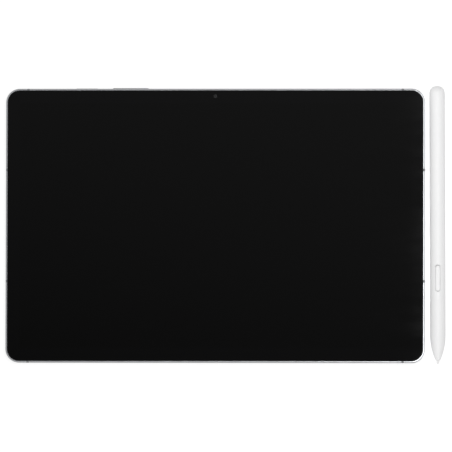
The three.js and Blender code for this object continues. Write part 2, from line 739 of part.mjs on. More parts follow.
function cardTray() {
  const doorBack = HALF_Y - TRAY_DOOR_THICK;
  const bottom = SIDE_MIDDLE - TRAY_THICK / 2;
  const door = raisedCapsule(TRAY_DOOR_LENGTH, TRAY_DOOR_HEIGHT, doorBack, HALF_Y)
    .applyMatrix4(Z_TO_Y)
    .translate(TRAY_X, 0, SIDE_MIDDLE);
  const plate = box(
    [TRAY_X - TRAY_WIDTH / 2, doorBack - TRAY_LENGTH, bottom],
    [TRAY_X + TRAY_WIDTH / 2, doorBack + TRAY_DOOR_THICK / 2, bottom + TRAY_THICK],
  );
  const windowTop = doorBack - TRAY_WINDOW_FROM_DOOR;
  const window = box(
    [TRAY_X - TRAY_WINDOW_WIDTH / 2, windowTop - TRAY_WINDOW_LENGTH, 0],
    [TRAY_X + TRAY_WINDOW_WIDTH / 2, windowTop, GLASS_TOP],
  );
  const ejectHole = disc(EJECT_HOLE_RADIUS, doorBack - 1, HALF_Y + 1)
    .applyMatrix4(Z_TO_Y)
    .translate(EJECT_HOLE_X, 0, SIDE_MIDDLE);
  return cut(joined(door, plate), window, ejectHole);
}

// The metal cage that the tray slides in, open towards the edge.
function cardCage() {
  const left = TRAY_X - CAGE_WIDTH / 2;
  const right = TRAY_X + CAGE_WIDTH / 2;
  const back = CAGE_MOUTH_Y - CAGE_DEPTH;
  return cut(
    box([left, back, BOARD_TOP], [right, CAGE_MOUTH_Y, CAGE_TOP]),
    box(
      [left + CAGE_WALL, back + CAGE_WALL, BOARD_TOP + CAGE_WALL],
      [right - CAGE_WALL, CAGE_MOUTH_Y + 1, CAGE_TOP - CAGE_WALL],
    ),
  );
}

// ---- USB socket ----------------------------------------------------------------------------------------

function usbShell() {
  const innerWidth = USB_WIDTH - 2 * USB_WALL_SIDE;
  const innerHeight = USB_HEIGHT - 2 * USB_WALL_TOP;
  return cut(
    raisedCapsule(USB_WIDTH, USB_HEIGHT, USB_BACK, USB_FRONT),
    raisedCapsule(innerWidth, innerHeight, USB_BACK + USB_BACK_PLATE, USB_FRONT + 1),
  ).applyMatrix4(Z_TO_X).translate(0, 0, SIDE_MIDDLE);
}

function usbTongue() {
  const back = USB_BACK + USB_BACK_PLATE;
  return box(
    [back, -TONGUE_WIDTH / 2, SIDE_MIDDLE - TONGUE_THICK / 2],
    [back + TONGUE_LENGTH, TONGUE_WIDTH / 2, SIDE_MIDDLE + TONGUE_THICK / 2],
  );
}

// ---- Speakers ------------------------------------------------------------------------------------------

// A speaker in its own frame, facing +X: its middle is at Y = 0, and X is measured in the tablet's frame.
// A snout with the sound port in it reaches towards the slot in the wall.
function speaker() {
  const front = INNER_X - SPEAKER_GAP_TO_WALL;
  const snoutFront = front + SNOUT_DEPTH;
  const body = box(
    [front - SPEAKER_DEPTH, -SPEAKER_LENGTH / 2, FLOOR_TOP],
    [front, SPEAKER_LENGTH / 2, SPEAKER_TOP],
  );
  const snout = box(
    [front - 1, -SNOUT_LENGTH / 2, SNOUT_BOTTOM],
    [snoutFront, SNOUT_LENGTH / 2, SPEAKER_TOP],
  );
  const port = box(
    [snoutFront - SOUND_PORT_DEPTH, -SOUND_PORT_LENGTH / 2, SIDE_MIDDLE - SOUND_PORT_HEIGHT / 2],
    [snoutFront + 1, SOUND_PORT_LENGTH / 2, SIDE_MIDDLE + SOUND_PORT_HEIGHT / 2],
  );
  return cut(joined(body, snout), port);
}

// A grille strip in its own frame, facing +X.
function speakerGrille() {
  const front = HALF_X - GRILLE_RECESS;
  const length = GRILLE_SLOT_LENGTH - 2 * GRILLE_CLEARANCE;
  const height = GRILLE_SLOT_HEIGHT - 2 * GRILLE_CLEARANCE;
  return raisedCapsule(length, height, front - GRILLE_THICK, front)
    .applyMatrix4(Z_TO_X)
    .translate(0, 0, SIDE_MIDDLE);
}

// ---- Keyboard contacts ---------------------------------------------------------------------------------

const contactPlaces = [-CONTACT_SPACING, 0, CONTACT_SPACING];

function contactBlock() {
  const half = CONTACT_BLOCK_LENGTH / 2 - CONTACT_CLEARANCE;
  const halfBlockHeight = CONTACT_BLOCK_HEIGHT / 2 - CONTACT_CLEARANCE;
  const block = box(
    [-half, -HALF_Y, SIDE_MIDDLE - halfBlockHeight],
    [half, -INNER_Y, SIDE_MIDDLE + halfBlockHeight],
  );
  const halfLength = CONTACT_LENGTH / 2 + CONTACT_CLEARANCE;
  const halfHeight = CONTACT_HEIGHT / 2 + CONTACT_CLEARANCE;
  const pockets = contactPlaces.map((x) => box(
    [x - halfLength, -HALF_Y - 1, SIDE_MIDDLE - halfHeight],
    [x + halfLength, -HALF_Y + CONTACT_RECESS + CONTACT_DEPTH, SIDE_MIDDLE + halfHeight],
  ));
  return cut(block, ...pockets);
}

function contactPad() {
  const front = -HALF_Y + CONTACT_RECESS;
  return raisedCapsule(CONTACT_LENGTH, CONTACT_HEIGHT, front, front + CONTACT_DEPTH)
    .applyMatrix4(Z_TO_Y)
    .translate(0, 0, SIDE_MIDDLE);
}

// ---- Boards, cells and cables --------------------------------------------------------------------------

// A shape from its corner points.
const polygon = (points) => new THREE.Shape(points.map(([x, y]) => new THREE.Vector2(x, y)));

// The main board, with its screw holes.
function mainBoard() {
  const outline = polygon([
    [LEG_LEFT, LEG_BOTTOM],
    [LEG_RIGHT, LEG_BOTTOM],
    [LEG_RIGHT, ARM_BOTTOM],
    [ARM_RIGHT, ARM_BOTTOM],
    [ARM_RIGHT, ARM_TOP],
    [ARM_LEFT, ARM_TOP],
    [ARM_LEFT, LEG_TOP],
    [LEG_LEFT, LEG_TOP],
  ]);
  const holes = SCREW_PLACES.map(([x, y]) => disc(SCREW_HOLE_RADIUS, 0, BOARD_TOP + 1, x, y));
  return cut(raised(outline, BOARD_BOTTOM, BOARD_TOP), ...holes);
}

function shieldCan({ x, y, width, depth }) {
  return blockOn(BOARD_TOP, [width, depth, CAN_TOP - BOARD_TOP], x, y);
}

// A board screw in its own frame: a flat head on the board and a shank down into its boss.
function boardScrew() {
  return turnedAroundZ([
    [0, SCREW_BOTTOM],
    [SCREW_SHANK_RADIUS, SCREW_BOTTOM],
    [SCREW_SHANK_RADIUS, BOARD_TOP],
    [SCREW_HEAD_RADIUS, BOARD_TOP],
    [SCREW_HEAD_RADIUS, BOARD_TOP + SCREW_HEAD_THICK],
    [0, BOARD_TOP + SCREW_HEAD_THICK],
  ], SMALL_ROUND_SEGMENTS);
}

// The board at the USB socket, notched to let the socket sit at its middle height.
function usbBoard() {
  const notchHalf = USB_WIDTH / 2 + USB_NOTCH_CLEARANCE;
  const notchLeft = USB_BACK - USB_NOTCH_CLEARANCE;
  return raised(polygon([
    [USB_BOARD_LEFT, -USB_BOARD_HALF],
    [USB_BOARD_RIGHT, -USB_BOARD_HALF],
    [USB_BOARD_RIGHT, -notchHalf],
    [notchLeft, -notchHalf],
    [notchLeft, notchHalf],
    [USB_BOARD_RIGHT, notchHalf],
    [USB_BOARD_RIGHT, USB_BOARD_HALF],
    [USB_BOARD_LEFT, USB_BOARD_HALF],
  ]), BOARD_BOTTOM, BOARD_TOP);
}

// The ribbon from the USB board, round below the cells, to the main board. It lies on both boards.
function boardFlex() {
  const innerLeft = RIBBON_LEFT + RIBBON_WIDTH;
  const innerRight = RIBBON_RIGHT - RIBBON_WIDTH;
  const innerBottom = RIBBON_BOTTOM + RIBBON_WIDTH;
  const leftEnd = LEG_BOTTOM + RIBBON_LAP;
  const rightEnd = RIBBON_LAP - USB_BOARD_HALF;
  return raised(polygon([
    [RIBBON_LEFT, RIBBON_BOTTOM],
    [RIBBON_RIGHT, RIBBON_BOTTOM],
    [RIBBON_RIGHT, rightEnd],
    [innerRight, rightEnd],
    [innerRight, innerBottom],
    [innerLeft, innerBottom],
    [innerLeft, leftEnd],
    [RIBBON_LEFT, leftEnd],
  ]), BOARD_TOP, BOARD_TOP + FLEX_THICK);
}

// The ribbon that climbs from the main board to the back of the display, drawn on X and Z.
function displayFlex() {
  const footEnd = DISPLAY_FLEX_START_X + DISPLAY_FLEX_LAP;
  const climbEnd = footEnd + DISPLAY_FLEX_CLIMB;
  const end = climbEnd + DISPLAY_FLEX_LAP;
  const footTop = BOARD_TOP + FLEX_THICK;
  const headBottom = PANEL_BOTTOM - FLEX_THICK;
  const side = polygon([
    [DISPLAY_FLEX_START_X, BOARD_TOP],
    [footEnd, BOARD_TOP],
    [climbEnd, headBottom],
    [end, headBottom],
    [end, PANEL_BOTTOM],
    [climbEnd, PANEL_BOTTOM],
    [footEnd, footTop],
    [DISPLAY_FLEX_START_X, footTop],
  ]);
  return raised(side, -DISPLAY_FLEX_WIDTH / 2, DISPLAY_FLEX_WIDTH / 2)
    .applyMatrix4(Y_TO_Z)
    .translate(0, DISPLAY_FLEX_Y, 0);
}

const battery = () => blockOn(FLOOR_TOP, [BATTERY_WIDTH, BATTERY_DEPTH, BATTERY_TOP - FLOOR_TOP]);

// ---- Pen, in its own frame: the axis is Y, and the button faces +Z -------------------------------------

function penBarrel() {
  const tube = turned([
    [PEN_BORE, PEN_TAPER_Y],
    [PEN_RADIUS, PEN_TAPER_Y],
    [PEN_RADIUS, PEN_CAP_Y],
    [PEN_BORE, PEN_CAP_Y],
    [PEN_BORE, PEN_TAPER_Y],
  ]);
  const clearance = 2 * PEN_BUTTON_CLEARANCE;
  const slot = penCapsule(PEN_BUTTON_LENGTH + clearance, PEN_BUTTON_WIDTH + clearance, 0, PEN_RADIUS + 1);
  return cut(tube, slot.translate(0, PEN_BUTTON_Y, 0));
}

// A capsule that lies along the pen.
function penCapsule(length, width, from, to) {
  return raisedCapsule(length, width, from, to).rotateZ(Math.PI / 2);
}

// The domed end, with a spigot into the barrel. The dome is a little flatter than a half sphere.
function penEndCap() {
  const outline = [
    [0, PEN_CAP_Y - PEN_SPIGOT_LENGTH],
    [PEN_SPIGOT_RADIUS, PEN_CAP_Y - PEN_SPIGOT_LENGTH],
    [PEN_SPIGOT_RADIUS, PEN_CAP_Y],
  ];
  for (let step = 0; step <= PEN_END_STEPS; step += 1) {
    const angle = (step / PEN_END_STEPS) * (Math.PI / 2);
    const radius = step === PEN_END_STEPS ? 0 : PEN_RADIUS * Math.cos(angle) ** PEN_CAP_SQUARENESS;
    outline.push([radius, PEN_CAP_Y + (PEN_END_Y - PEN_CAP_Y) * Math.sin(angle) ** PEN_CAP_SQUARENESS]);
  }
  return turned(outline);
}

// The tapered tip, with a bore for the nib and a spigot into the barrel.
function penTip() {
  const outline = [[NIB_BORE, PEN_CONE_END_Y]];
  for (let step = 0; step <= PEN_END_STEPS; step += 1) {
    const share = step / PEN_END_STEPS;
    const y = PEN_CONE_END_Y + share * (PEN_TAPER_Y - PEN_CONE_END_Y);
    outline.push([penTaperRadius(share), y]);
  }
  outline.push([PEN_SPIGOT_RADIUS, PEN_TAPER_Y]);
  outline.push([PEN_SPIGOT_RADIUS, PEN_TAPER_Y + PEN_SPIGOT_LENGTH]);
  outline.push([NIB_BORE, PEN_TAPER_Y + PEN_SPIGOT_LENGTH]);
  outline.push([NIB_BORE, PEN_CONE_END_Y]);
  return turned(outline);
}

// The radius of the taper, from its small end at share 0 to the barrel at share 1.
function penTaperRadius(share) {
  const angle = (share ** PEN_CONE_FULLNESS) * (Math.PI / 2);
  const rise = PEN_RADIUS - PEN_CONE_SMALL_RADIUS;
  return PEN_CONE_SMALL_RADIUS + rise * Math.sin(angle) ** PEN_CONE_SQUARENESS;
}

function penNib() {
  return turned([
    [0, PEN_NIB_Y],
    [NIB_FLAT_RADIUS, PEN_NIB_Y + NIB_FLAT_LENGTH],
    [NIB_RADIUS, PEN_NIB_Y + NIB_ROUND_LENGTH],
    [NIB_RADIUS, NIB_BACK_Y],
    [0, NIB_BACK_Y],
  ], SMALL_ROUND_SEGMENTS);
}

// The side button: a capsule with a top that follows the barrel, and a flange inside that keeps it in.
function penButton() {
  const stem = penCapsule(PEN_BUTTON_LENGTH, PEN_BUTTON_WIDTH, PEN_BUTTON_FLANGE_BOTTOM, PEN_RADIUS + 1);
  const reach = PEN_RADIUS + PEN_BUTTON_PROUD;
  const round = new THREE.CylinderGeometry(reach, reach, PEN_BUTTON_LENGTH + 2, 2 * ROUND_SEGMENTS);
  const flange = blockOn(PEN_BUTTON_FLANGE_BOTTOM, [
    PEN_BUTTON_FLANGE_WIDTH,
    PEN_BUTTON_FLANGE_LENGTH,
    PEN_BUTTON_FLANGE_TOP - PEN_BUTTON_FLANGE_BOTTOM,
  ]);
  return joined(common(stem, round), flange).translate(0, PEN_BUTTON_Y, 0);
}

// The pen's insides: a coil behind the nib, and a board behind the coil.
function penCore() {
  const coil = turned([
    [0, COIL_FRONT_Y],
    [COIL_RADIUS, COIL_FRONT_Y],
    [COIL_RADIUS, COIL_BACK_Y],
    [0, COIL_BACK_Y],
  ], SMALL_ROUND_SEGMENTS);
  const halfWidth = PEN_BOARD_WIDTH / 2;
  const halfThick = PEN_BOARD_THICK / 2;
  const board = box([-halfWidth, COIL_BACK_Y - 1, -halfThick], [halfWidth, PEN_BOARD_END_Y, halfThick]);
  return joined(coil, board);
}

// ---- Assembly ------------------------------------------------------------------------------------------

function named(name, geometry, material) {
  const mesh = new THREE.Mesh(geometry, material);
  mesh.name = name;
  return mesh;
}

function placed(mesh, x, y, z = 0) {
  mesh.position.set(x, y, z);
  return mesh;
}

function enclosure() {
  const wall = cut(outerBody(), glassPocket());
  return [
    named('housing', housing(), aluminium()),
    ...breakBlocks.map(([name, block]) => named(name, common(wall, block), plasticGrey())),
    named('pen_dock_strip', penDockStrip().translate(DOCK_X, CAMERA_Y, 0), blackGlass()),
  ];
}

function front() {
  return [
    named('cover_glass', coverGlass(), blackGlass()),
    named('glass_gasket', glassGasket(), adhesive()),
    named('optical_adhesive', opticalAdhesive(), clearAdhesive()),
    named('display_panel', displayPanel(), blackGlass()),
    named('graphite_sheet', graphiteSheet(), graphite()),
    named('front_camera', frontCamera(), plasticBlack()),
  ];
}

function rearCameras() {
  const mainModule = cameraModule(MAIN_MODULE_SIZE, LENS_BORE_TOP);
  const wideModule = cameraModule(WIDE_MODULE_SIZE, FOCUS_LENS_BOTTOM);
  return [
    placed(named('main_camera_ring', cameraRing(), aluminium()), MAIN_CAMERA_X, CAMERA_Y),
    placed(named('main_camera_glass', cameraGlass(), lensGlass()), MAIN_CAMERA_X, CAMERA_Y),
    placed(named('main_camera_module', mainModule, plasticBlack()), MAIN_CAMERA_X, CAMERA_Y),
    placed(named('main_camera_focus_lens', focusLens(), lensGlass()), MAIN_CAMERA_X, CAMERA_Y),
    placed(named('wide_camera_ring', cameraRing(), aluminium()), WIDE_CAMERA_X, CAMERA_Y),
    placed(named('wide_camera_glass', cameraGlass(), lensGlass()), WIDE_CAMERA_X, CAMERA_Y),
    placed(named('wide_camera_module', wideModule, plasticBlack()), WIDE_CAMERA_X, CAMERA_Y),
    placed(named('flash_lens', flashLens(), clearPlastic()), FLASH_X, CAMERA_Y),
  ];
}

function keysAndTray() {
  const powerKey = key(POWER_LENGTH, POWER_PROUD, POWER_FLANGE_GAP);
  const volumeRocker = key(VOLUME_LENGTH, VOLUME_PROUD, VOLUME_FLANGE_GAP);
  return [
    placed(named('power_key', powerKey, aluminium()), POWER_X, 0, SIDE_MIDDLE),
    placed(named('volume_rocker', volumeRocker, aluminium()), VOLUME_X, 0, SIDE_MIDDLE),
    named('key_flex', keyFlex(), flexAmber()),
    named('card_tray', cardTray(), aluminium()),
    named('card_cage', cardCage(), steel()),
  ];
}

// The left-hand speakers are the right-hand ones turned half round.
function speakers() {
  return grillePlaces.flatMap(([place, sign, y]) => {
    const driver = placed(named(`speaker_${place}`, speaker(), plasticBlack()), 0, y);
    const grille = placed(named(`speaker_grille_${place}`, speakerGrille(), plasticBlack()), 0, y);
    driver.rotation.z = sign > 0 ? 0 : Math.PI;
    grille.rotation.z = driver.rotation.z;
    return [driver, grille];
  });
}

function connectors() {
  const pads = contactPlaces.map(
    (x, index) => placed(named(`keyboard_contact_${index + 1}`, contactPad(), brass()), x, 0),
  );
  return [
    named('usb_shell', usbShell(), steel()),
    named('usb_tongue', usbTongue(), plasticBlack()),
    named('keyboard_contact_block', contactBlock(), plasticGrey()),
    ...pads,
  ];
}

function electronics() {
  const screws = SCREW_PLACES.map(
    ([x, y], index) => placed(named(`board_screw_${index + 1}`, boardScrew(), steel()), x, y),
  );
  return [
    named('main_board', mainBoard(), boardGreen()),
    named('processor_shield', shieldCan(PROCESSOR_CAN), steel()),
    named('radio_shield', shieldCan(RADIO_CAN), steel()),
    ...screws,
    named('usb_board', usbBoard(), boardGreen()),
    named('board_flex', boardFlex(), flexAmber()),
    named('display_flex', displayFlex(), flexAmber()),
    placed(named('battery_left', battery(), cellFoil()), BATTERY_LEFT_X, BATTERY_Y),
    placed(named('battery_right', battery(), cellFoil()), BATTERY_RIGHT_X, BATTERY_Y),
  ];
}

function tablet() {
  const group = new THREE.Group();
  group.add(...enclosure(), ...front(), ...rearCameras(), ...keysAndTray());
  group.add(...speakers(), ...connectors(), ...electronics());
  return group;
}

function pen() {
  const group = new THREE.Group();
  group.position.set(PEN_X, 0, PEN_Z);
  group.rotation.set(0, PEN_ROLL, PEN_TURN, 'ZYX');
  group.add(named('pen_barrel', penBarrel(), whitePlastic()));
  group.add(named('pen_end_cap', penEndCap(), whitePlastic()));
  group.add(named('pen_tip', penTip(), whitePlastic()));
  group.add(named('pen_nib', penNib(), nibRubber()));
  group.add(named('pen_button', penButton(), whitePlastic()));
  group.add(named('pen_core', penCore(), boardGreen()));
  return group;
}

const tabletWithPen = new THREE.Group();
tabletWithPen.add(tablet(), pen());

export default tabletWithPen;
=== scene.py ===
"""The looks of an 11-inch tablet computer and its pen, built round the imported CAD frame.

Everything is in metres, in the frame's own axes: +X towards the pen, +Y towards the keys, and +Z out of
the screen.
"""
import json
import math

import bmesh
import bpy
from mathutils import Matrix, Vector


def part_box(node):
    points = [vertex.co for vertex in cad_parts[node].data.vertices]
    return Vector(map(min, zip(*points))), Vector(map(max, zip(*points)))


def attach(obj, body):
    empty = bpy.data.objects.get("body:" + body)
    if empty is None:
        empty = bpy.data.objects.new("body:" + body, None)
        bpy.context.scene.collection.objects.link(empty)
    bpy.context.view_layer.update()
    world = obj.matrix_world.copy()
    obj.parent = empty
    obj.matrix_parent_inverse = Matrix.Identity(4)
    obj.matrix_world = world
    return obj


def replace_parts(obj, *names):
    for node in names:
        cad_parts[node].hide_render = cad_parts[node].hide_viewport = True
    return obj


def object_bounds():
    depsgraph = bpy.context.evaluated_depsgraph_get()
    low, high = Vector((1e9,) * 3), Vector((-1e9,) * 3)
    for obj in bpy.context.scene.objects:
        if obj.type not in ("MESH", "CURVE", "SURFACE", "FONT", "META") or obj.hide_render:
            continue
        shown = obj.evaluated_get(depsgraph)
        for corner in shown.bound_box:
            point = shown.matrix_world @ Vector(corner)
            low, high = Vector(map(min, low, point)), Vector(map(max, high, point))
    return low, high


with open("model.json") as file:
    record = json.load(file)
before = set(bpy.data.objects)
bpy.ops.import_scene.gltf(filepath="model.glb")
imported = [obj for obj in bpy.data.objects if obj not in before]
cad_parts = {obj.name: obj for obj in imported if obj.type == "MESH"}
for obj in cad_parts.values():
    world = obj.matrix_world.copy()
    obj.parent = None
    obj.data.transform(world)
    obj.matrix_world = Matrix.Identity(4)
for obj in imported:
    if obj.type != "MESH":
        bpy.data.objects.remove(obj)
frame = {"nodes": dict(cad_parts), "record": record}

cad_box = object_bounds()
record = frame["record"]
body_of = {node: body for body, nodes in record["behaviour"]["bodies"].items() for node in nodes}

MM = 0.001
QUARTER = math.pi / 2
X_AXIS = Vector((1, 0, 0))
Y_AXIS = Vector((0, 1, 0))
Z_AXIS = Vector((0, 0, 1))

# ---- Sizes -----------------------------------------------------------------------------------------------

# The tablet's outline and heights come from the frame; radii and edge shapes are named here.
TUB_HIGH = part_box("housing")[1]
HALF_X = TUB_HIGH.x
HALF_Y = TUB_HIGH.y
LIP_TOP = TUB_HIGH.z
CORNER_RADIUS = 8.3 * MM
BACK_ROUND = 1.4 * MM
FRONT_ROUND_HEIGHT = 1.0 * MM
FRONT_ROUND_INSET = 0.75 * MM
POCKET_INSET = 0.95 * MM
POCKET_EDGE_ROUND = 0.06 * MM
WALL = 3.0 * MM
FLOOR_TOP = 0.7 * MM
EDGE_MIDDLE = 3.0 * MM
GLASS_LOW, GLASS_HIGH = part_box("cover_glass")
GLASS_TOP = GLASS_HIGH.z
LEDGE_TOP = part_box("glass_gasket")[0].z
GLASS_EDGE_HEIGHT = 0.35 * MM
GLASS_EDGE_INSET = 0.5 * MM
OPENING_ROUND = 0.12 * MM
THROUGH = 0.6 * MM

# The part of the display that lights up.
ACTIVE_X = 236.9 / 2 * MM
ACTIVE_Y = 148.1 / 2 * MM
ACTIVE_BLUR = 0.05 * MM

# Antenna breaks stand a hair clear of the metal.
BREAK_SEAM = 0.03 * MM

# The pen's dock strip.
STRIP_EDGE = 0.1 * MM

# Keys and the tray door.
KEY_CLEARANCE = 0.1 * MM
KEY_HEIGHT = 2.0 * MM
KEY_EDGE = 0.3 * MM
FLANGE_LENGTH = 1.0 * MM
FLANGE_HEIGHT = 0.5 * MM
POWER_FLANGE_GAP = 0.1 * MM
VOLUME_FLANGE_GAP = 0.4 * MM
DOOR_HEIGHT = 2.2 * MM
DOOR_THICK = 1.0 * MM
DOOR_EDGE = 0.12 * MM
TRAY_LIP = 1.0 * MM
TRAY_THICK = 0.8 * MM
TRAY_WINDOW = (11 * MM, 12 * MM)
TRAY_WINDOW_FROM_DOOR = 4 * MM
TRAY_WINDOW_CORNER = 0.5 * MM
TRAY_CORNER = 0.6 * MM
TRAY_EDGE = 0.08 * MM
TRAY_INTO_DOOR = 0.3 * MM
EJECT_HOLE_RADIUS = 0.45 * MM
EJECT_HOLE_OFFSET = 7 * MM

# USB-C socket.
USB_WALL = 0.25 * MM
USB_CLEARANCE = 0.08 * MM
USB_BACK_PLATE = 0.3 * MM
TONGUE_EDGE = 0.15 * MM
USB_PADS = 12
USB_PAD_PITCH = 0.5 * MM
USB_PAD_WIDTH = 0.27 * MM
USB_PAD_LENGTH = 3.4 * MM
USB_PAD_PROUD = 0.03 * MM
USB_PAD_SUNK = 0.05 * MM
USB_PAD_CORNER = 0.08 * MM
USB_PAD_FROM_END = 0.5 * MM
USB_LIP_STEPS = 8

# Speaker grilles.
SLOT_LENGTH = 18 * MM
SLOT_HEIGHT = 1.5 * MM
GRILLE_HOLE = 0.24 * MM
GRILLE_PITCH = 0.72 * MM
GRILLE_ROW = 0.3 * MM
GRILLE_EDGE = 0.08 * MM
GRILLE_HOLE_EDGE = 0.04 * MM

# Keyboard contacts and microphone holes.
CONTACT_EDGE = 0.08 * MM
CONTACT_CLEARANCE = 0.05 * MM
CARRIER_CORNER = 0.2 * MM
MIC_RADIUS = 0.4 * MM
MIC_TOP_X = 34 * MM
MIC_BOTTOM_X = -62 * MM

# Rear cameras and flash. A ring's and a hole's sizes are radii.
RING_PROUD = 0.7 * MM
RING_OUTER = 6.2 * MM
RING_NECK = 5.3 * MM
RING_HOLE = 5.6 * MM
RING_SEAT = 4.7 * MM
RING_BORE = 3.9 * MM
RING_ROUND = 0.3 * MM
RING_BEVEL = 0.12 * MM
RING_SEAT_HEIGHT = 0.2 * MM
RING_NECK_TOP = 0.6 * MM
COVER_BEVEL = 0.06 * MM
LENS_DOME_SHARE = 0.55
LENS_DOME_HEIGHT = 0.3 * MM
LENS_DOME_STEPS = 8
LENS_GROOVE_DEPTH = 0.35 * MM
LENS_GROOVE_SHARE = 0.62
LENS_STEP_DEPTH = 0.2 * MM
LENS_STEP_SHARES = (0.66, 0.78)
LENS_RIM_SHARE = 0.82
WIDE_LENS_RADIUS = 2.9 * MM
WIDE_LENS_LOW = 0.1 * MM
WIDE_LENS_HIGH = 1.05 * MM
FLASH_HOLE = 2.05 * MM
FLASH_RIDGES = 6
FLASH_RIDGE_DEPTH = 0.08 * MM
FLASH_RIDGE_STEP = 0.02 * MM
FLASH_RIDGED_SHARE = 0.85

# Front camera window in the border of the glass.
WINDOW_RADIUS = 1.05 * MM
WINDOW_SEAM = 0.02 * MM
FRONT_BODY_CORNER = 0.4 * MM
FRONT_BODY_EDGE = 0.25 * MM
FRONT_BODY_DROP = 0.65 * MM
FRONT_BARREL_RADIUS = 1.3 * MM
FRONT_BARREL_FOOT = 1.0 * MM
FRONT_FUNNEL_SHARE = 0.85
FRONT_BORE = 0.55 * MM
FRONT_BORE_DROP = 0.35 * MM
FRONT_LENS_DROP = 0.36 * MM
FRONT_LENS_BACK_DROP = 0.5 * MM
FRONT_DOME_HEIGHT = 0.18 * MM
FRONT_DOME_STEPS = 6

# Pen. Its own frame has Y along the pen and Z through the middle of the button.
PEN_LOW, PEN_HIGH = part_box("pen_barrel")
PEN_CAP_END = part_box("pen_end_cap")[1].y
PEN_CONE_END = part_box("pen_tip")[0].y
PEN_RADIUS = 4.65 * MM
PEN_BORE = 3.7 * MM
PEN_SEAM = 0.05 * MM
PEN_ROLL = math.radians(2.5)
PEN_TURN = math.radians(0.24)
PEN_CENTRE = Vector(((PEN_LOW.x + PEN_HIGH.x + (PEN_LOW.y + PEN_HIGH.y) * math.sin(PEN_TURN)) / 2, 0,
                     cad_box[0].z + PEN_RADIUS))
BUTTON_Y = -31.9 * MM
BUTTON_LENGTH = 15.6 * MM
BUTTON_WIDTH = 2.9 * MM
BUTTON_SIDE_GAP = 0.06 * MM
BUTTON_CAP_GAP = 0.4 * MM
BUTTON_TIP_GAP = 0.2 * MM
BUTTON_SLOT_ROUND = 0.1 * MM
BUTTON_SLOT_LOW = 2.5 * MM
BUTTON_SLOT_PAST = 1 * MM
BUTTON_FLANGE_LOW = 2.4 * MM
BUTTON_FLANGE_HIGH = 2.8 * MM
FLANGE_SIDE = 0.35 * MM
BUTTON_EDGE = 0.35 * MM
BUTTON_RIDGE = 0.02 * MM
BUTTON_INNER_STEPS = 6
BUTTON_PROUD = 0.15 * MM
BUTTON_TILT = 0.018
SPIGOT_RADIUS = 3.4 * MM
SPIGOT_LENGTH = 4 * MM
CAP_SQUARENESS = 0.86
CONE_SMALL_RADIUS = 1.15 * MM
CONE_END_INSET = 0.12 * MM
CONE_END_HEIGHT = 0.1 * MM
CONE_FULLNESS = 0.84
CONE_SQUARENESS = 0.97
NIB_RADIUS = 0.75 * MM
NIB_ROUND = 0.6 * MM
NIB_BORE = 1.05 * MM

# Smoothness.
CORNER_STEPS = 24
EDGE_STEPS = 8
ROUND_STEPS = 24
RIM_STEPS = 3
SHARP_ANGLE = math.radians(32)
WELD_DISTANCE = 0.0001 * MM

# ---- Mesh helpers ----------------------------------------------------------------------------------------


def rounded(width, height, radius, steps=CORNER_STEPS):
    """A function that gives the outline of a rounded rectangle, grown by some amount all round."""
    def outline(grow):
        corner = radius + grow
        reach_u = width / 2 - radius
        reach_v = height / 2 - radius
        points = []
        for quarter, (side_u, side_v) in enumerate(((1, 1), (-1, 1), (-1, -1), (1, -1))):
            for step in range(steps + 1):
                angle = (quarter + step / steps) * QUARTER
                u = side_u * reach_u + corner * math.cos(angle)
                v = side_v * reach_v + corner * math.sin(angle)
                points.append((u, v))
        return points
    return outline


def capsule(length, height, steps=ROUND_STEPS // 2):
    """The outline of a slot with half-round ends."""
    return rounded(length, height, height / 2, steps)


def disc(radius, steps=ROUND_STEPS):
    """The outline of a circle."""
    return rounded(2 * radius, 2 * radius, radius, steps)


def facing(origin, out, up=Z_AXIS):
    """Puts points on a plane through origin: u to the side, v along up, and w along out."""
    side = Vector(up).cross(Vector(out))
    return lambda u, v, w: Vector(origin) + side * u + Vector(up) * v + Vector(out) * w


def upright(x=0.0, y=0.0):
    """Puts points on the frame's own axes, moved to x and y."""
    return facing((x, y, 0), Z_AXIS, Y_AXIS)


def rings(outline, layers, place):
    """Copies of an outline at (height, grow) layers."""
    return [[place(u, v, height) for u, v in outline(grow)] for height, grow in layers]


def skin(loops, wrap=False):
    """A closed mesh through rings with the same number of points. It is capped, or wraps to its start."""
    count = len(loops[0])
    points = [point for loop in loops for point in loop]
    faces = []
    spans = len(loops) if wrap else len(loops) - 1
    for level in range(spans):
        low = level * count
        high = (level + 1) % len(loops) * count
        for i in range(count):
            j = (i + 1) % count
            faces.append((low + i, low + j, high + j, high + i))
    if not wrap:
        faces.append(tuple(reversed(range(count))))
        faces.append(tuple(range(len(points) - count, len(points))))
    mesh = bpy.data.meshes.new("skin")
    mesh.from_pydata(points, [], faces)
    return cleaned(mesh)


def cleaned(mesh):
    """Welds points that lie together and turns every face outwards."""
    bm = bmesh.new()
    bm.from_mesh(mesh)
    bmesh.ops.remove_doubles(bm, verts=bm.verts, dist=WELD_DISTANCE)
    bmesh.ops.recalc_face_normals(bm, faces=bm.faces)
    bm.to_mesh(mesh)
    bm.free()
    return mesh


def stack(outline, layers, place):
    """A solid through copies of an outline at (height, grow) layers."""
    return skin(rings(outline, layers, place))


def quarter_round(start, end, inset, steps=EDGE_STEPS):
    """Layers that round an edge from start to end, moved in by inset. A negative inset moves it out."""
    layers = []
    for step in range(steps + 1):
        angle = step / steps * QUARTER
        height = start + (end - start) * math.sin(angle)
        layers.append((height, -inset * (1 - math.cos(angle))))
    return layers


def bulge(radius, height, across, along, steps=EDGE_STEPS):
    """Points of a quarter ellipse about (radius, height), from its end along the axis to its end across."""
    points = []
    for step in range(steps + 1):
        angle = step / steps * QUARTER
        points.append((radius + across * math.sin(angle), height + along * math.cos(angle)))
    return points


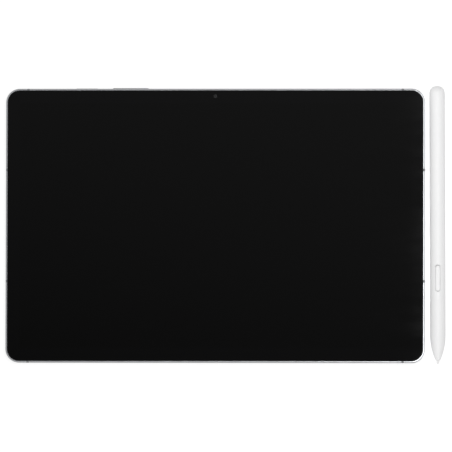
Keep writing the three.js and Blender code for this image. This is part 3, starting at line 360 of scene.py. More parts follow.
def opening(outline, place, depth=WALL + THROUGH, edge=OPENING_ROUND):
    """A cutter that goes into a flat face to a depth and rounds the rim of the hole."""
    rim = quarter_round(-edge, 0, -edge, RIM_STEPS)
    return stack(outline, [(-depth, 0), *rim, (THROUGH, edge)], place)


def block(low, high):
    """A box between two corners."""
    width, depth = high[0] - low[0], high[1] - low[1]
    corners = [(low[0], low[1]), (low[0] + width, low[1]), (high[0], high[1]), (low[0], low[1] + depth)]
    return skin([[Vector((x, y, z)) for x, y in corners] for z in (low[2], high[2])])


def turned(profile, place):
    """A closed profile of (radius, height) points, turned round the place's w axis. A radius may be 0."""
    steps = 4 * ROUND_STEPS
    loops = []
    for radius, height in profile:
        loop = []
        for step in range(steps):
            angle = step / steps * 4 * QUARTER
            loop.append(place(radius * math.cos(angle), radius * math.sin(angle), height))
        loops.append(loop)
    return skin(loops, wrap=True)


def together(*meshes):
    """One mesh that holds several."""
    bm = bmesh.new()
    for mesh in meshes:
        bm.from_mesh(mesh)
    made = bpy.data.meshes.new("together")
    bm.to_mesh(made)
    bm.free()
    return made


def placed(name, data):
    """A new object in the scene."""
    made = bpy.data.objects.new(name, data)
    bpy.context.scene.collection.objects.link(made)
    return made


def hidden_from(made, *rays):
    for ray in rays:
        setattr(made, f"visible_{ray}", False)


def boolean(operation, mesh, *others):
    """The mesh that a boolean of one mesh with several others makes."""
    target = placed("target", mesh)
    tool = placed("tool", together(*others))
    modifier = target.modifiers.new("boolean", "BOOLEAN")
    modifier.operation = operation
    modifier.solver = "EXACT"
    modifier.object = tool
    bpy.context.view_layer.update()
    graph = bpy.context.evaluated_depsgraph_get()
    made = bpy.data.meshes.new_from_object(target.evaluated_get(graph))
    bpy.data.objects.remove(target)
    bpy.data.objects.remove(tool)
    return made


def cut(mesh, *others):
    return boolean("DIFFERENCE", mesh, *others)


def joined(mesh, *others):
    return boolean("UNION", mesh, *others)


def common(mesh, *others):
    return boolean("INTERSECT", mesh, *others)


def shaded(mesh):
    """Smooth shading that breaks where two faces meet at a sharp angle."""
    bm = bmesh.new()
    bm.from_mesh(mesh)
    for face in bm.faces:
        face.smooth = True
    for edge in bm.edges:
        edge.smooth = len(edge.link_faces) == 2 and edge.calc_face_angle(0) < SHARP_ANGLE
    bm.to_mesh(mesh)
    bm.free()
    return mesh


def piece(name, mesh, finish, body):
    """A piece with one of the materials that rides on a body."""
    mesh.name = name
    mesh.materials.clear()
    mesh.materials.append(materials[finish])
    made = placed(name, shaded(mesh))
    normals = made.modifiers.new("flat faces stay flat", "WEIGHTED_NORMAL")
    normals.keep_sharp = True
    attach(made, body)
    return made


def stand_for(node, name, mesh, finish):
    """A piece that takes a CAD node's place, with that node's body."""
    made = piece(name, mesh, finish, body_of[node])
    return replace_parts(made, node)


def middle(node):
    low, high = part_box(node)
    return (low + high) / 2


def span(node, axis):
    low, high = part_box(node)
    return getattr(high, axis) - getattr(low, axis)


def centred(node):
    """Puts points on the frame's own axes, moved to the middle of a node."""
    at = middle(node)
    return upright(at.x, at.y)


def underside(node):
    """Where a piece in the back face faces down: at its node's middle."""
    at = middle(node)
    return facing((at.x, at.y, 0), -Z_AXIS, Y_AXIS)


# ---- Materials -------------------------------------------------------------------------------------------


def add_node(tree, kind, **sockets):
    """A node with values or links in its sockets. Gives its first output."""
    made = tree.nodes.new(kind)
    for name, value in sockets.items():
        socket = made.inputs[name.replace("_", " ")]
        if isinstance(value, bpy.types.NodeSocket):
            tree.links.new(value, socket)
        else:
            socket.default_value = value
    return made.outputs[0]


def shader(name, color, roughness, metallic=0.0, **settings):
    """A material with one Principled shader. A setting's name is its socket's, with _ for each space."""
    material = bpy.data.materials.new(name)
    material.use_nodes = True
    inputs = material.node_tree.nodes["Principled BSDF"].inputs
    inputs["Base Color"].default_value = (*color, 1)
    inputs["Roughness"].default_value = roughness
    inputs["Metallic"].default_value = metallic
    for setting, value in settings.items():
        inputs[setting.replace("_", " ")].default_value = value
    return material


def noise(material, size, stretch=(1, 1, 1), detail=2.0):
    """A noise with grains of about that size. Stretch makes them longer along an axis."""
    tree = material.node_tree
    coordinates = tree.nodes.new("ShaderNodeTexCoord").outputs["Object"]
    scale = [1 / (size * longer) for longer in stretch]
    mapped = add_node(tree, "ShaderNodeMapping", Vector=coordinates, Scale=scale)
    return add_node(tree, "ShaderNodeTexNoise", Vector=mapped, Scale=1, Detail=detail)


def between(material, value, low, high, start=0.3, end=0.7):
    """A number that goes from low to high as the value goes from start to end."""
    return add_node(
        material.node_tree, "ShaderNodeMapRange", Value=value,
        From_Min=start, From_Max=end, To_Min=low, To_Max=high)


def mixed(material, share, first, second):
    """A colour that goes from the first to the second as the share goes from 0 to 1."""
    # The node's sockets for numbers and vectors come before those for colours.
    node = material.node_tree.nodes.new("ShaderNodeMix")
    node.data_type = "RGBA"
    material.node_tree.links.new(share, node.inputs["Factor"])
    node.inputs[6].default_value = (*first, 1)
    node.inputs[7].default_value = (*second, 1)
    return node.outputs[2]


def wire(material, value, socket):
    shader_node = material.node_tree.nodes["Principled BSDF"]
    material.node_tree.links.new(value, shader_node.inputs[socket])


def bumped(material, value, height):
    """Raises the surface where the value is high."""
    normal = add_node(material.node_tree, "ShaderNodeBump", Strength=1, Distance=height, Height=value)
    wire(material, normal, "Normal")


def surface(name, light, dark, smooth, rough, grain, relief, stretch=(1, 1, 1), patches=18 * MM, **settings):
    """A finish with fine grain in its relief and roughness, and soft patches in its colour."""
    material = shader(name, light, smooth, **settings)
    cloud = noise(material, patches)
    wire(material, mixed(material, between(material, cloud, 0, 1), light, dark), "Base Color")
    fine = noise(material, grain, stretch)
    wire(material, between(material, fine, smooth, rough), "Roughness")
    if relief:
        bumped(material, fine, relief)
    return material


def cover_glass_finish():
    """Black glass: ink round the edge, the dark display behind the middle, and faint wipe marks."""
    material = shader("front_glass", (0.004, 0.004, 0.005), 0.04, IOR=1.5, Specular_IOR_Level=0.125)
    nodes, links = material.node_tree.nodes, material.node_tree.links
    coordinates = nodes.new("ShaderNodeTexCoord")
    axes = nodes.new("ShaderNodeSeparateXYZ")
    links.new(coordinates.outputs["Object"], axes.inputs["Vector"])
    inside = None
    for axis, limit in (("X", ACTIVE_X), ("Y", ACTIVE_Y)):
        size = nodes.new("ShaderNodeMath")
        size.operation = "ABSOLUTE"
        links.new(axes.outputs[axis], size.inputs[0])
        within = between(material, size.outputs[0], 1, 0, limit - ACTIVE_BLUR, limit + ACTIVE_BLUR)
        if inside is None:
            inside = within
        else:
            both = nodes.new("ShaderNodeMath")
            both.operation = "MULTIPLY"
            links.new(inside, both.inputs[0])
            links.new(within, both.inputs[1])
            inside = both.outputs[0]
    wire(material, mixed(material, inside, (0.0010, 0.0010, 0.0011), (0.0007, 0.0007, 0.0007)), "Base Color")
    wipes = noise(material, size=14 * MM, stretch=(3.0, 0.7, 1), detail=4.0)
    wire(material, between(material, wipes, 0.035, 0.075), "Roughness")
    return material


materials = {
    "aluminium": surface(
        "anodised_aluminium", light=(0.595, 0.605, 0.625), dark=(0.58, 0.59, 0.61), smooth=0.30, rough=0.40,
        grain=0.16 * MM, relief=0.0016 * MM, metallic=1.0),
    "brushed": surface(
        "brushed_key_aluminium", light=(0.55, 0.56, 0.58), dark=(0.50, 0.51, 0.53), smooth=0.26, rough=0.42,
        grain=0.12 * MM, relief=0.002 * MM, stretch=(14, 1, 1), metallic=1.0),
    "ring": surface(
        "turned_ring_aluminium", light=(0.55, 0.56, 0.58), dark=(0.51, 0.52, 0.54), smooth=0.20, rough=0.30,
        grain=0.1 * MM, relief=0.001 * MM, metallic=1.0),
    "steel": surface(
        "bright_steel", light=(0.62, 0.62, 0.61), dark=(0.55, 0.55, 0.55), smooth=0.18, rough=0.34,
        grain=0.3 * MM, relief=0.001 * MM, stretch=(1, 6, 1), metallic=1.0),
    "gold": surface(
        "contact_gold", light=(0.83, 0.62, 0.28), dark=(0.78, 0.56, 0.24), smooth=0.16, rough=0.28,
        grain=0.2 * MM, relief=0.0008 * MM, metallic=1.0),
    "break": surface(
        "antenna_plastic", light=(0.20, 0.205, 0.215), dark=(0.17, 0.175, 0.185), smooth=0.42, rough=0.58,
        grain=0.14 * MM, relief=0.003 * MM),
    "black": surface(
        "black_plastic", light=(0.012, 0.012, 0.013), dark=(0.020, 0.020, 0.021), smooth=0.42, rough=0.6,
        grain=0.2 * MM, relief=0.004 * MM),
    "grille": surface(
        "grille_black", light=(0.016, 0.016, 0.018), dark=(0.010, 0.010, 0.011), smooth=0.34, rough=0.5,
        grain=0.1 * MM, relief=0.002 * MM, metallic=0.6),
    "white": surface(
        "pen_white", light=(0.855, 0.855, 0.857), dark=(0.845, 0.845, 0.847), smooth=0.46, rough=0.58,
        grain=0.22 * MM, relief=0.003 * MM, patches=30 * MM, Specular_IOR_Level=0.3),
    "nib": surface(
        "nib_elastomer", light=(0.84, 0.84, 0.835), dark=(0.80, 0.80, 0.795), smooth=0.55, rough=0.72,
        grain=0.12 * MM, relief=0.004 * MM),
    "strip": surface(
        "dock_glass", light=(0.010, 0.011, 0.013), dark=(0.016, 0.017, 0.019), smooth=0.06, rough=0.10,
        grain=6 * MM, relief=0),
    "board": surface(
        "solder_mask", light=(0.012, 0.075, 0.045), dark=(0.020, 0.105, 0.060), smooth=0.30, rough=0.45,
        grain=0.9 * MM, relief=0.01 * MM, patches=4 * MM),
    "flex": surface(
        "polyimide", light=(0.42, 0.19, 0.035), dark=(0.34, 0.15, 0.03), smooth=0.25, rough=0.4,
        grain=1.2 * MM, relief=0.01 * MM, stretch=(6, 1, 1)),
    "cell": surface(
        "cell_wrap", light=(0.022, 0.023, 0.026), dark=(0.035, 0.036, 0.040), smooth=0.3, rough=0.45,
        grain=2.5 * MM, relief=0.05 * MM),
    "graphite": surface(
        "graphite_sheet", light=(0.045, 0.045, 0.048), dark=(0.07, 0.07, 0.073), smooth=0.35, rough=0.55,
        grain=0.5 * MM, relief=0.01 * MM, metallic=0.4),
    "adhesive": surface(
        "black_adhesive", light=(0.008, 0.008, 0.008), dark=(0.014, 0.014, 0.014), smooth=0.6, rough=0.8,
        grain=0.5 * MM, relief=0.01 * MM),
    "clear": surface(
        "clear_adhesive", light=(0.80, 0.82, 0.83), dark=(0.76, 0.78, 0.80), smooth=0.12, rough=0.2,
        grain=3 * MM, relief=0.01 * MM, Transmission_Weight=0.9, IOR=1.47),
    "flash": surface(
        "flash_lens", light=(0.86, 0.80, 0.58), dark=(0.78, 0.66, 0.36), smooth=0.10, rough=0.18,
        grain=1.0 * MM, relief=0.004 * MM, patches=1.5 * MM, Transmission_Weight=0.35, IOR=1.5),
    "lens": surface(
        "lens_glass", light=(0.012, 0.016, 0.030), dark=(0.022, 0.014, 0.030), smooth=0.03, rough=0.06,
        grain=3 * MM, relief=0, patches=3 * MM, Coat_Weight=1.0, IOR=1.7),
    "dark_lens": surface(
        "front_lens_glass", light=(0.012, 0.012, 0.014), dark=(0.017, 0.016, 0.020), smooth=0.05, rough=0.09,
        grain=2 * MM, relief=0, patches=1 * MM, IOR=1.5, Specular_IOR_Level=0.25),
    "window": surface(
        "window_glass", light=(0.86, 0.88, 0.90), dark=(0.83, 0.86, 0.89), smooth=0.02, rough=0.04,
        grain=3 * MM, relief=0, Transmission_Weight=1.0, IOR=1.5, Specular_IOR_Level=0.125),
    "dark_window": surface(
        "tinted_window_glass", light=(0.26, 0.265, 0.27), dark=(0.24, 0.245, 0.25), smooth=0.02, rough=0.04,
        grain=3 * MM, relief=0, Transmission_Weight=1.0, IOR=1.5, Specular_IOR_Level=0.125),
    "glass": cover_glass_finish(),
}

# ---- Enclosure -------------------------------------------------------------------------------------------

TABLET_OUTLINE = rounded(2 * HALF_X, 2 * HALF_Y, CORNER_RADIUS)


def wall_profile():
    """Layers from the back face, out and up the side, over the lip and down into the pocket of the glass."""
    back = quarter_round(BACK_ROUND, 0, BACK_ROUND)[::-1]
    front = quarter_round(LIP_TOP - FRONT_ROUND_HEIGHT, LIP_TOP, FRONT_ROUND_INSET)
    lip = [
        (LIP_TOP, POCKET_EDGE_ROUND - POCKET_INSET),
        (LIP_TOP - POCKET_EDGE_ROUND, -POCKET_INSET),
        (LEDGE_TOP, -POCKET_INSET),
    ]
    return [*back, *front, *lip]


def solid_wall():
    """The tub's outside, solid up to the ledge."""
    return stack(TABLET_OUTLINE, wall_profile(), upright())


def hollow_tub():
    """The tub with its inside, as one skin."""
    inside = [(LEDGE_TOP, -WALL), (FLOOR_TOP, -WALL)]
    return stack(TABLET_OUTLINE, [*wall_profile(), *inside], upright())


break_nodes = sorted(node for node in frame["nodes"] if node.startswith("antenna_break"))


def break_block(node, seam):
    """The block of wall that an antenna break fills, made narrower by the seam on its two long faces."""
    low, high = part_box(node)
    if high.y - low.y > high.x - low.x:
        low, high = low + X_AXIS * seam, high - X_AXIS * seam
        outwards = Y_AXIS * math.copysign(THROUGH, low.y)
    else:
        low, high = low + Y_AXIS * seam, high - Y_AXIS * seam
        outwards = X_AXIS * math.copysign(THROUGH, low.x)
    low, high = low - Z_AXIS * THROUGH, high + Z_AXIS * THROUGH
    corners = [low, high, low + outwards, high + outwards]
    return block([min(corner[axis] for corner in corners) for axis in range(3)],
                 [max(corner[axis] for corner in corners) for axis in range(3)])


def edge_place(node, sign_y=0, sign_x=0):
    """Where a piece in the side wall faces out: at its node's middle, on the wall's face."""
    at = middle(node)
    if sign_y:
        return facing((at.x, sign_y * HALF_Y, EDGE_MIDDLE), Y_AXIS * sign_y)
    return facing((sign_x * HALF_X, at.y, EDGE_MIDDLE), X_AXIS * sign_x)


def key_length(node):
    return span(node, "x") - 2 * FLANGE_LENGTH


def side_of(node):
    return math.copysign(1, middle(node).x)


grille_nodes = sorted(node for node in frame["nodes"] if node.startswith("speaker_grille"))


def wall_openings():
    """Cutters for everything that goes through the side walls."""
    cutters = []
    for node in ("power_key", "volume_rocker"):
        outline = capsule(key_length(node) + 2 * KEY_CLEARANCE, KEY_HEIGHT + 2 * KEY_CLEARANCE)
        cutters.append(opening(outline, edge_place(node, sign_y=1)))
    door = capsule(span("card_tray", "x") + 2 * KEY_CLEARANCE, DOOR_HEIGHT + 2 * KEY_CLEARANCE)
    cutters.append(opening(door, edge_place("card_tray", sign_y=1), edge=OPENING_ROUND / 2))
    usb = capsule(span("usb_shell", "y") + 2 * USB_CLEARANCE, span("usb_shell", "z") + 2 * USB_CLEARANCE)
    cutters.append(opening(usb, edge_place("usb_shell", sign_x=1), edge=2 * OPENING_ROUND))
    for node in grille_nodes:
        cutters.append(opening(capsule(SLOT_LENGTH, SLOT_HEIGHT), edge_place(node, sign_x=side_of(node))))
    node = "keyboard_contact_block"
    carrier = rounded(span(node, "x") + 2 * BREAK_SEAM, span(node, "z") + 2 * BREAK_SEAM, CARRIER_CORNER, 4)
    cutters.append(opening(carrier, edge_place(node, sign_y=-1), edge=OPENING_ROUND / 4))
    for x, sign in ((MIC_TOP_X, 1), (MIC_BOTTOM_X, -1)):
        cutters.append(opening(disc(MIC_RADIUS), facing((x, sign * HALF_Y, EDGE_MIDDLE), Y_AXIS * sign)))
    return cutters


def back_openings():
    """Cutters for the camera rings, the flash and the pen's dock strip, which face down."""
    cutters = []
    radii = {"main_camera_ring": RING_HOLE, "wide_camera_ring": RING_HOLE, "flash_lens": FLASH_HOLE}
    for node, radius in radii.items():
        cutters.append(opening(disc(radius), underside(node), 2 * FLOOR_TOP))
    node = "pen_dock_strip"
    recess = capsule(span(node, "x") + 2 * KEY_CLEARANCE, span(node, "y") + 2 * KEY_CLEARANCE)
    cutters.append(opening(recess, underside(node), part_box(node)[1].z, edge=OPENING_ROUND / 2))
    return cutters


def build_enclosure():
    solid = solid_wall()
    for node in break_nodes:
        inlay = common(solid.copy(), break_block(node, BREAK_SEAM))
        stand_for(node, node.replace("antenna_break", "inlay"), inlay, "break")
    tub = cut(hollow_tub(), *(break_block(node, 0) for node in break_nodes))
    tub = cut(tub, *wall_openings(), *back_openings())
    stand_for("housing", "tub", tub, "aluminium")
    node = "pen_dock_strip"
    layers = [(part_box(node)[1].z, 0), *quarter_round(STRIP_EDGE, 0, STRIP_EDGE)]
    strip = stack(capsule(span(node, "x"), span(node, "y")), layers, centred(node))
    stand_for(node, "dock_window", strip, "strip")


# ---- Front -----------------------------------------------------------------------------------------------


def build_front():
    place = centred("front_camera")
    outline = rounded(2 * GLASS_HIGH.x, 2 * GLASS_HIGH.y, CORNER_RADIUS - (HALF_X - GLASS_HIGH.x))
    layers = [(GLASS_LOW.z, 0), *quarter_round(GLASS_TOP - GLASS_EDGE_HEIGHT, GLASS_TOP, GLASS_EDGE_INSET)]
    glass = stack(outline, layers, upright())
    layers = [(GLASS_LOW.z - THROUGH, 0), (GLASS_TOP + THROUGH, 0)]
    hole = stack(disc(WINDOW_RADIUS + WINDOW_SEAM), layers, place)
    stand_for("cover_glass", "front_glass", cut(glass, hole), "glass")
    window = stack(disc(WINDOW_RADIUS), [(GLASS_LOW.z, 0), (GLASS_TOP, 0)], place)
    piece("camera_window", window, "dark_window", "tablet")
    build_front_camera(place)


def build_front_camera(place):
    """A square body with a barrel whose bore narrows to a small domed lens."""
    low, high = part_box("front_camera")
    body_top = high.z - FRONT_BODY_DROP
    outline = rounded(high.x - low.x, high.y - low.y, FRONT_BODY_CORNER, steps=4)
    edge = quarter_round(body_top - FRONT_BODY_EDGE, body_top, FRONT_BODY_EDGE, steps=3)
    body = stack(outline, [(low.z, 0), *edge], place)
    foot = low.z + FRONT_BARREL_FOOT
    bore_floor = high.z - FRONT_BORE_DROP
    barrel = turned([
        (0, foot), (FRONT_BARREL_RADIUS, foot), (FRONT_BARREL_RADIUS, high.z),
        (FRONT_FUNNEL_SHARE * FRONT_BARREL_RADIUS, high.z), (FRONT_BORE, bore_floor), (0, bore_floor),
    ], place)
    stand_for("front_camera", "front_camera_body", joined(body, barrel), "black")
    rim = high.z - FRONT_LENS_DROP
    back = high.z - FRONT_LENS_BACK_DROP
    dome = bulge(0, rim, FRONT_BORE, FRONT_DOME_HEIGHT, FRONT_DOME_STEPS)
    lens = turned([(0, back), (FRONT_BORE, back), *reversed(dome)], place)
    piece("front_camera_lens", lens, "dark_lens", "tablet")


# ---- Rear cameras ----------------------------------------------------------------------------------------


def camera_ring(place):
    """A turned ring with a rounded outer edge and a bevelled inner one."""
    face = -RING_PROUD
    outer = bulge(RING_OUTER - RING_ROUND, face + RING_ROUND, RING_ROUND, -RING_ROUND)
    return turned([
        (RING_SEAT, -RING_SEAT_HEIGHT), (RING_SEAT, face + RING_BEVEL), (RING_SEAT + RING_BEVEL, face),
        *outer, (RING_OUTER, 0), (RING_NECK, 0), (RING_NECK, RING_NECK_TOP), (RING_BORE, RING_NECK_TOP),
        (RING_BORE, -RING_SEAT_HEIGHT),
    ], place)


def camera_cover(node, place):
    """A glass disc with a fine bevel."""
    low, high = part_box(node)
    layers = [(high.z, 0), (low.z + COVER_BEVEL, 0), (low.z, -COVER_BEVEL)]
    return stack(disc((high.x - low.x) / 2), layers, place)


def lens_group(radius, low, high, place):
    """A barrel of stepped rings round a domed front lens that looks down, in one outline."""
    groove = low + LENS_GROOVE_DEPTH
    dome = bulge(0, groove, LENS_DOME_SHARE * radius, -LENS_DOME_HEIGHT, LENS_DOME_STEPS)
    terrace = [(share * radius, low + LENS_STEP_DEPTH) for share in LENS_STEP_SHARES]
    return turned([
        *dome, (LENS_GROOVE_SHARE * radius, groove), *terrace, (LENS_RIM_SHARE * radius, low), (radius, low),
        (radius, high), (0, high),
    ], place)


def build_rear_cameras():
    for kind in ("main", "wide"):
        place = centred(f"{kind}_camera_ring")
        stand_for(f"{kind}_camera_ring", f"{kind}_ring", camera_ring(place), "ring")
        node = f"{kind}_camera_glass"
        stand_for(node, f"{kind}_lens_cover", camera_cover(node, place), "window")
    node = "main_camera_focus_lens"
    low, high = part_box(node)
    group = lens_group((high.x - low.x) / 2, low.z, high.z, centred(node))
    stand_for(node, "main_lens_group", group, "lens")
    group = lens_group(WIDE_LENS_RADIUS, WIDE_LENS_LOW, WIDE_LENS_HIGH, centred("wide_camera_ring"))
    piece("wide_lens_group", group, "lens", "tablet")
    build_flash()


def build_flash():
    """A lens with fine round ridges on its face, over a warm inside."""
    low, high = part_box("flash_lens")
    radius = (high.x - low.x) / 2
    face = [(0, low.z)]
    for ridge in range(1, FLASH_RIDGES + 1):
        at_radius = FLASH_RIDGED_SHARE * radius * ridge / FLASH_RIDGES
        face.append((at_radius, low.z + FLASH_RIDGE_DEPTH))
        face.append((at_radius + FLASH_RIDGE_STEP, low.z))
    lens = turned([*face, (radius, low.z), (radius, high.z), (0, high.z)], centred("flash_lens"))
    stand_for("flash_lens", "flash_ridged_lens", lens, "flash")


# ---- Keys and tray ---------------------------------------------------------------------------------------


def build_key(node, name, flange_gap):
    """A key with a rounded face, in front of the flange that keeps it in."""
    low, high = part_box(node)
    at = middle(node)
    place = facing((at.x, 0, EDGE_MIDDLE), Y_AXIS)
    flange_front = HALF_Y - WALL - flange_gap
    flange = capsule(key_length(node) + 2 * FLANGE_LENGTH, KEY_HEIGHT + 2 * FLANGE_HEIGHT)
    stem = capsule(key_length(node), KEY_HEIGHT)
    face = quarter_round(high.y - KEY_EDGE, high.y, KEY_EDGE)
    loops = rings(flange, [(low.y, 0), (flange_front, 0)], place)
    loops += rings(stem, [(flange_front, 0), *face], place)
    stand_for(node, name, skin(loops), "brushed")


def build_tray():
    """The door with its eject hole, and the plate behind it with its card window."""
    low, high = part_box("card_tray")
    at = middle("card_tray")
    place = facing((at.x, 0, EDGE_MIDDLE), Y_AXIS)
    outline = capsule(high.x - low.x, DOOR_HEIGHT)
    door_back = high.y - DOOR_THICK
    face = quarter_round(high.y - DOOR_EDGE, high.y, DOOR_EDGE, steps=4)
    door = stack(outline, [(door_back, 0), *face], place)
    half = (high.x - low.x) / 2 - TRAY_LIP
    half_thick = TRAY_THICK / 2
    layers = [(-half_thick, -TRAY_EDGE), (TRAY_EDGE - half_thick, 0), (half_thick - TRAY_EDGE, 0),
              (half_thick, -TRAY_EDGE)]
    plate_y = (door_back + low.y) / 2 + TRAY_INTO_DOOR
    plate = stack(rounded(2 * half, door_back - low.y, TRAY_CORNER, steps=6), layers,
                  facing((at.x, plate_y, EDGE_MIDDLE), Z_AXIS, Y_AXIS))
    window_y = door_back - TRAY_WINDOW_FROM_DOOR - TRAY_WINDOW[1] / 2
    window = stack(rounded(*TRAY_WINDOW, TRAY_WINDOW_CORNER, steps=6), [(-THROUGH, 0), (THROUGH, 0)],
                   facing((at.x, window_y, EDGE_MIDDLE), Z_AXIS, Y_AXIS))
    eject = opening(disc(EJECT_HOLE_RADIUS), facing((at.x + EJECT_HOLE_OFFSET, high.y, EDGE_MIDDLE), Y_AXIS),
                    2 * DOOR_THICK, OPENING_ROUND / 2)
    tray = cut(joined(door, plate), window, eject)
    stand_for("card_tray", "tray_with_door", tray, "brushed")


# ---- Connectors ------------------------------------------------------------------------------------------


def build_usb():
    """A formed shell with a rolled lip, and a tongue with its contacts."""
    low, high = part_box("usb_shell")
    place = facing((0, 0, EDGE_MIDDLE), X_AXIS)
    outline = capsule(high.y - low.y, high.z - low.z)
    half_wall = USB_WALL / 2
    lip = []
    for step in range(USB_LIP_STEPS + 1):
        angle = step / USB_LIP_STEPS * 2 * QUARTER
        level = high.x - half_wall + half_wall * math.sin(angle)
        lip.append((level, half_wall * math.cos(angle) - half_wall))
    shell = stack(outline, [(low.x, 0), *lip, (low.x + USB_BACK_PLATE, -USB_WALL)], place)
    stand_for("usb_shell", "usb_formed_shell", shell, "steel")
    low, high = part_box("usb_tongue")
    outline = rounded(high.y - low.y, high.z - low.z, TONGUE_EDGE, steps=4)
    end = quarter_round(high.x - TONGUE_EDGE, high.x, TONGUE_EDGE / 2, steps=4)
    tongue = stack(outline, [(low.x, 0), *end], place)
    stand_for("usb_tongue", "usb_moulded_tongue", tongue, "black")
    pads = []
    pad_outline = rounded(USB_PAD_WIDTH, USB_PAD_LENGTH, USB_PAD_CORNER, steps=3)
    pad_x = high.x - USB_PAD_FROM_END - USB_PAD_LENGTH / 2
    for side in (1, -1):
        for pad in range(USB_PADS):
            y = (pad - (USB_PADS - 1) / 2) * USB_PAD_PITCH
            surface_z = EDGE_MIDDLE + side * (high.z - low.z) / 2
            pad_place = facing((pad_x, y, surface_z), Z_AXIS * side, X_AXIS)
            pads.append(stack(pad_outline, [(-USB_PAD_SUNK, 0), (USB_PAD_PROUD, 0)], pad_place))
    piece("usb_contacts", together(*pads), "gold", "tablet")


def build_grilles():
    """A strip with two staggered rows of fine holes behind each speaker slot."""
    for node in grille_nodes:
        low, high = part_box(node)
        sign = side_of(node)
        front = max(abs(low.x), abs(high.x))
        length, height = high.y - low.y, high.z - low.z
        place = facing((sign * front, middle(node).y, EDGE_MIDDLE), X_AXIS * sign)
        layers = [(low.x - high.x, 0), (-GRILLE_EDGE, 0), (0, -GRILLE_EDGE)]
        strip = stack(capsule(length, height), layers, place)
        holes = []
        for row, offset in ((GRILLE_ROW, 0), (-GRILLE_ROW, 0.5)):
            count = int((length - height) / GRILLE_PITCH)
            for hole in range(count):
                along = (hole + offset - (count - 0.5) / 2) * GRILLE_PITCH
                hole_place = facing(place(along, row, 0), X_AXIS * sign)
                depth = 2 * (high.x - low.x)
                holes.append(opening(disc(GRILLE_HOLE, steps=4), hole_place, depth, GRILLE_HOLE_EDGE))
        stand_for(node, node.replace("speaker_grille", "grille"), cut(strip, *holes), "grille")


def build_contacts():
    """The carrier and its three gold pads."""
    low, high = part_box("keyboard_contact_block")
    place = edge_place("keyboard_contact_block", sign_y=-1)
    outline = rounded(high.x - low.x, high.z - low.z, CARRIER_CORNER, 4)
    depth = high.y - low.y
    carrier = stack(outline, [(-depth, 0), *quarter_round(-CONTACT_EDGE, 0, CONTACT_EDGE, steps=3)], place)
    pockets = []
    for index in (1, 2, 3):
        node = f"keyboard_contact_{index}"
        pad_low, pad_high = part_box(node)
        outline = capsule(pad_high.x - pad_low.x, pad_high.z - pad_low.z)
        pad_place = edge_place(node, sign_y=-1)
        face = -(pad_low.y + HALF_Y)
        back = face - (pad_high.y - pad_low.y)
        layers = [(back, 0), *quarter_round(face - CONTACT_EDGE, face, CONTACT_EDGE, steps=4)]
        stand_for(node, f"contact_pad_{index}", stack(outline, layers, pad_place), "gold")
        layers = [(back - CONTACT_CLEARANCE, CONTACT_CLEARANCE), (THROUGH, CONTACT_CLEARANCE)]
        pockets.append(stack(outline, layers, pad_place))
    stand_for("keyboard_contact_block", "contact_carrier", cut(carrier, *pockets), "break")


# ---- Pen -------------------------------------------------------------------------------------------------

PEN_AXIS = Matrix.Rotation(PEN_TURN, 3, "Z") @ Y_AXIS
PEN_OUT = Matrix.Rotation(PEN_TURN, 3, "Z") @ Matrix.Rotation(PEN_ROLL, 3, "Y") @ Z_AXIS
PEN_SIDE = PEN_AXIS.cross(PEN_OUT)


def along_pen(u, v, y):
    """Puts points of a turned pen part: u and v across the pen, and y along it."""
    return PEN_CENTRE + PEN_SIDE * u + PEN_OUT * v + PEN_AXIS * y


def on_pen(u, v, radius):
    """Puts points on a cylinder of that radius: u across the pen, v along it from the button's middle."""
    return along_pen(u, math.sqrt(radius * radius - u * u), BUTTON_Y + v)


def on_button(u, v, radius):
    """As on_pen, and higher towards the end of the button that is nearer the cap."""
    return on_pen(u, v, radius) + PEN_OUT * (BUTTON_TILT * v)


def build_barrel():
    low, high = PEN_LOW.y, PEN_HIGH.y
    tube = turned([
        (PEN_BORE, low), (PEN_RADIUS - PEN_SEAM, low), (PEN_RADIUS, low + PEN_SEAM),
        (PEN_RADIUS, high - PEN_SEAM), (PEN_RADIUS - PEN_SEAM, high), (PEN_BORE, high),
    ], along_pen)
    rim = BUTTON_SLOT_ROUND
    length = BUTTON_LENGTH + BUTTON_CAP_GAP + BUTTON_TIP_GAP
    outline = rounded(BUTTON_WIDTH + 2 * BUTTON_SIDE_GAP, length, BUTTON_WIDTH / 2 + BUTTON_SIDE_GAP, 12)
    widened = quarter_round(PEN_RADIUS - rim, PEN_RADIUS, -rim, RIM_STEPS)
    layers = [(BUTTON_SLOT_LOW, 0), *widened, (PEN_RADIUS + BUTTON_SLOT_PAST, rim)]
    shift = (BUTTON_CAP_GAP - BUTTON_TIP_GAP) / 2
    slot = skin(rings(outline, layers, lambda u, v, radius: on_pen(u, v + shift, radius)))
    stand_for("pen_barrel", "pen_body", cut(tube, slot), "white")


def build_end_cap():
    """A dome that is a little fuller than a half sphere, on a spigot."""
    base = PEN_HIGH.y
    steps = 2 * ROUND_STEPS
    dome = []
    for step in range(steps):
        angle = step / steps * QUARTER
        radius = PEN_RADIUS * math.cos(angle) ** CAP_SQUARENESS
        dome.append((radius, base + (PEN_CAP_END - base) * math.sin(angle) ** CAP_SQUARENESS))
    dome[0] = (PEN_RADIUS, base + PEN_SEAM)
    back = base - SPIGOT_LENGTH
    profile = [(0, back), (SPIGOT_RADIUS, back), (SPIGOT_RADIUS, base), (PEN_RADIUS - PEN_SEAM, base)]
    cap = turned([*profile, *dome, (0, PEN_CAP_END)], along_pen)
    stand_for("pen_end_cap", "pen_cap", cap, "white")


def cone_radius(share):
    """The radius of the taper, from its small end at share 0 to the barrel at share 1."""
    rise = PEN_RADIUS - CONE_SMALL_RADIUS
    return CONE_SMALL_RADIUS + rise * math.sin(share ** CONE_FULLNESS * QUARTER) ** CONE_SQUARENESS


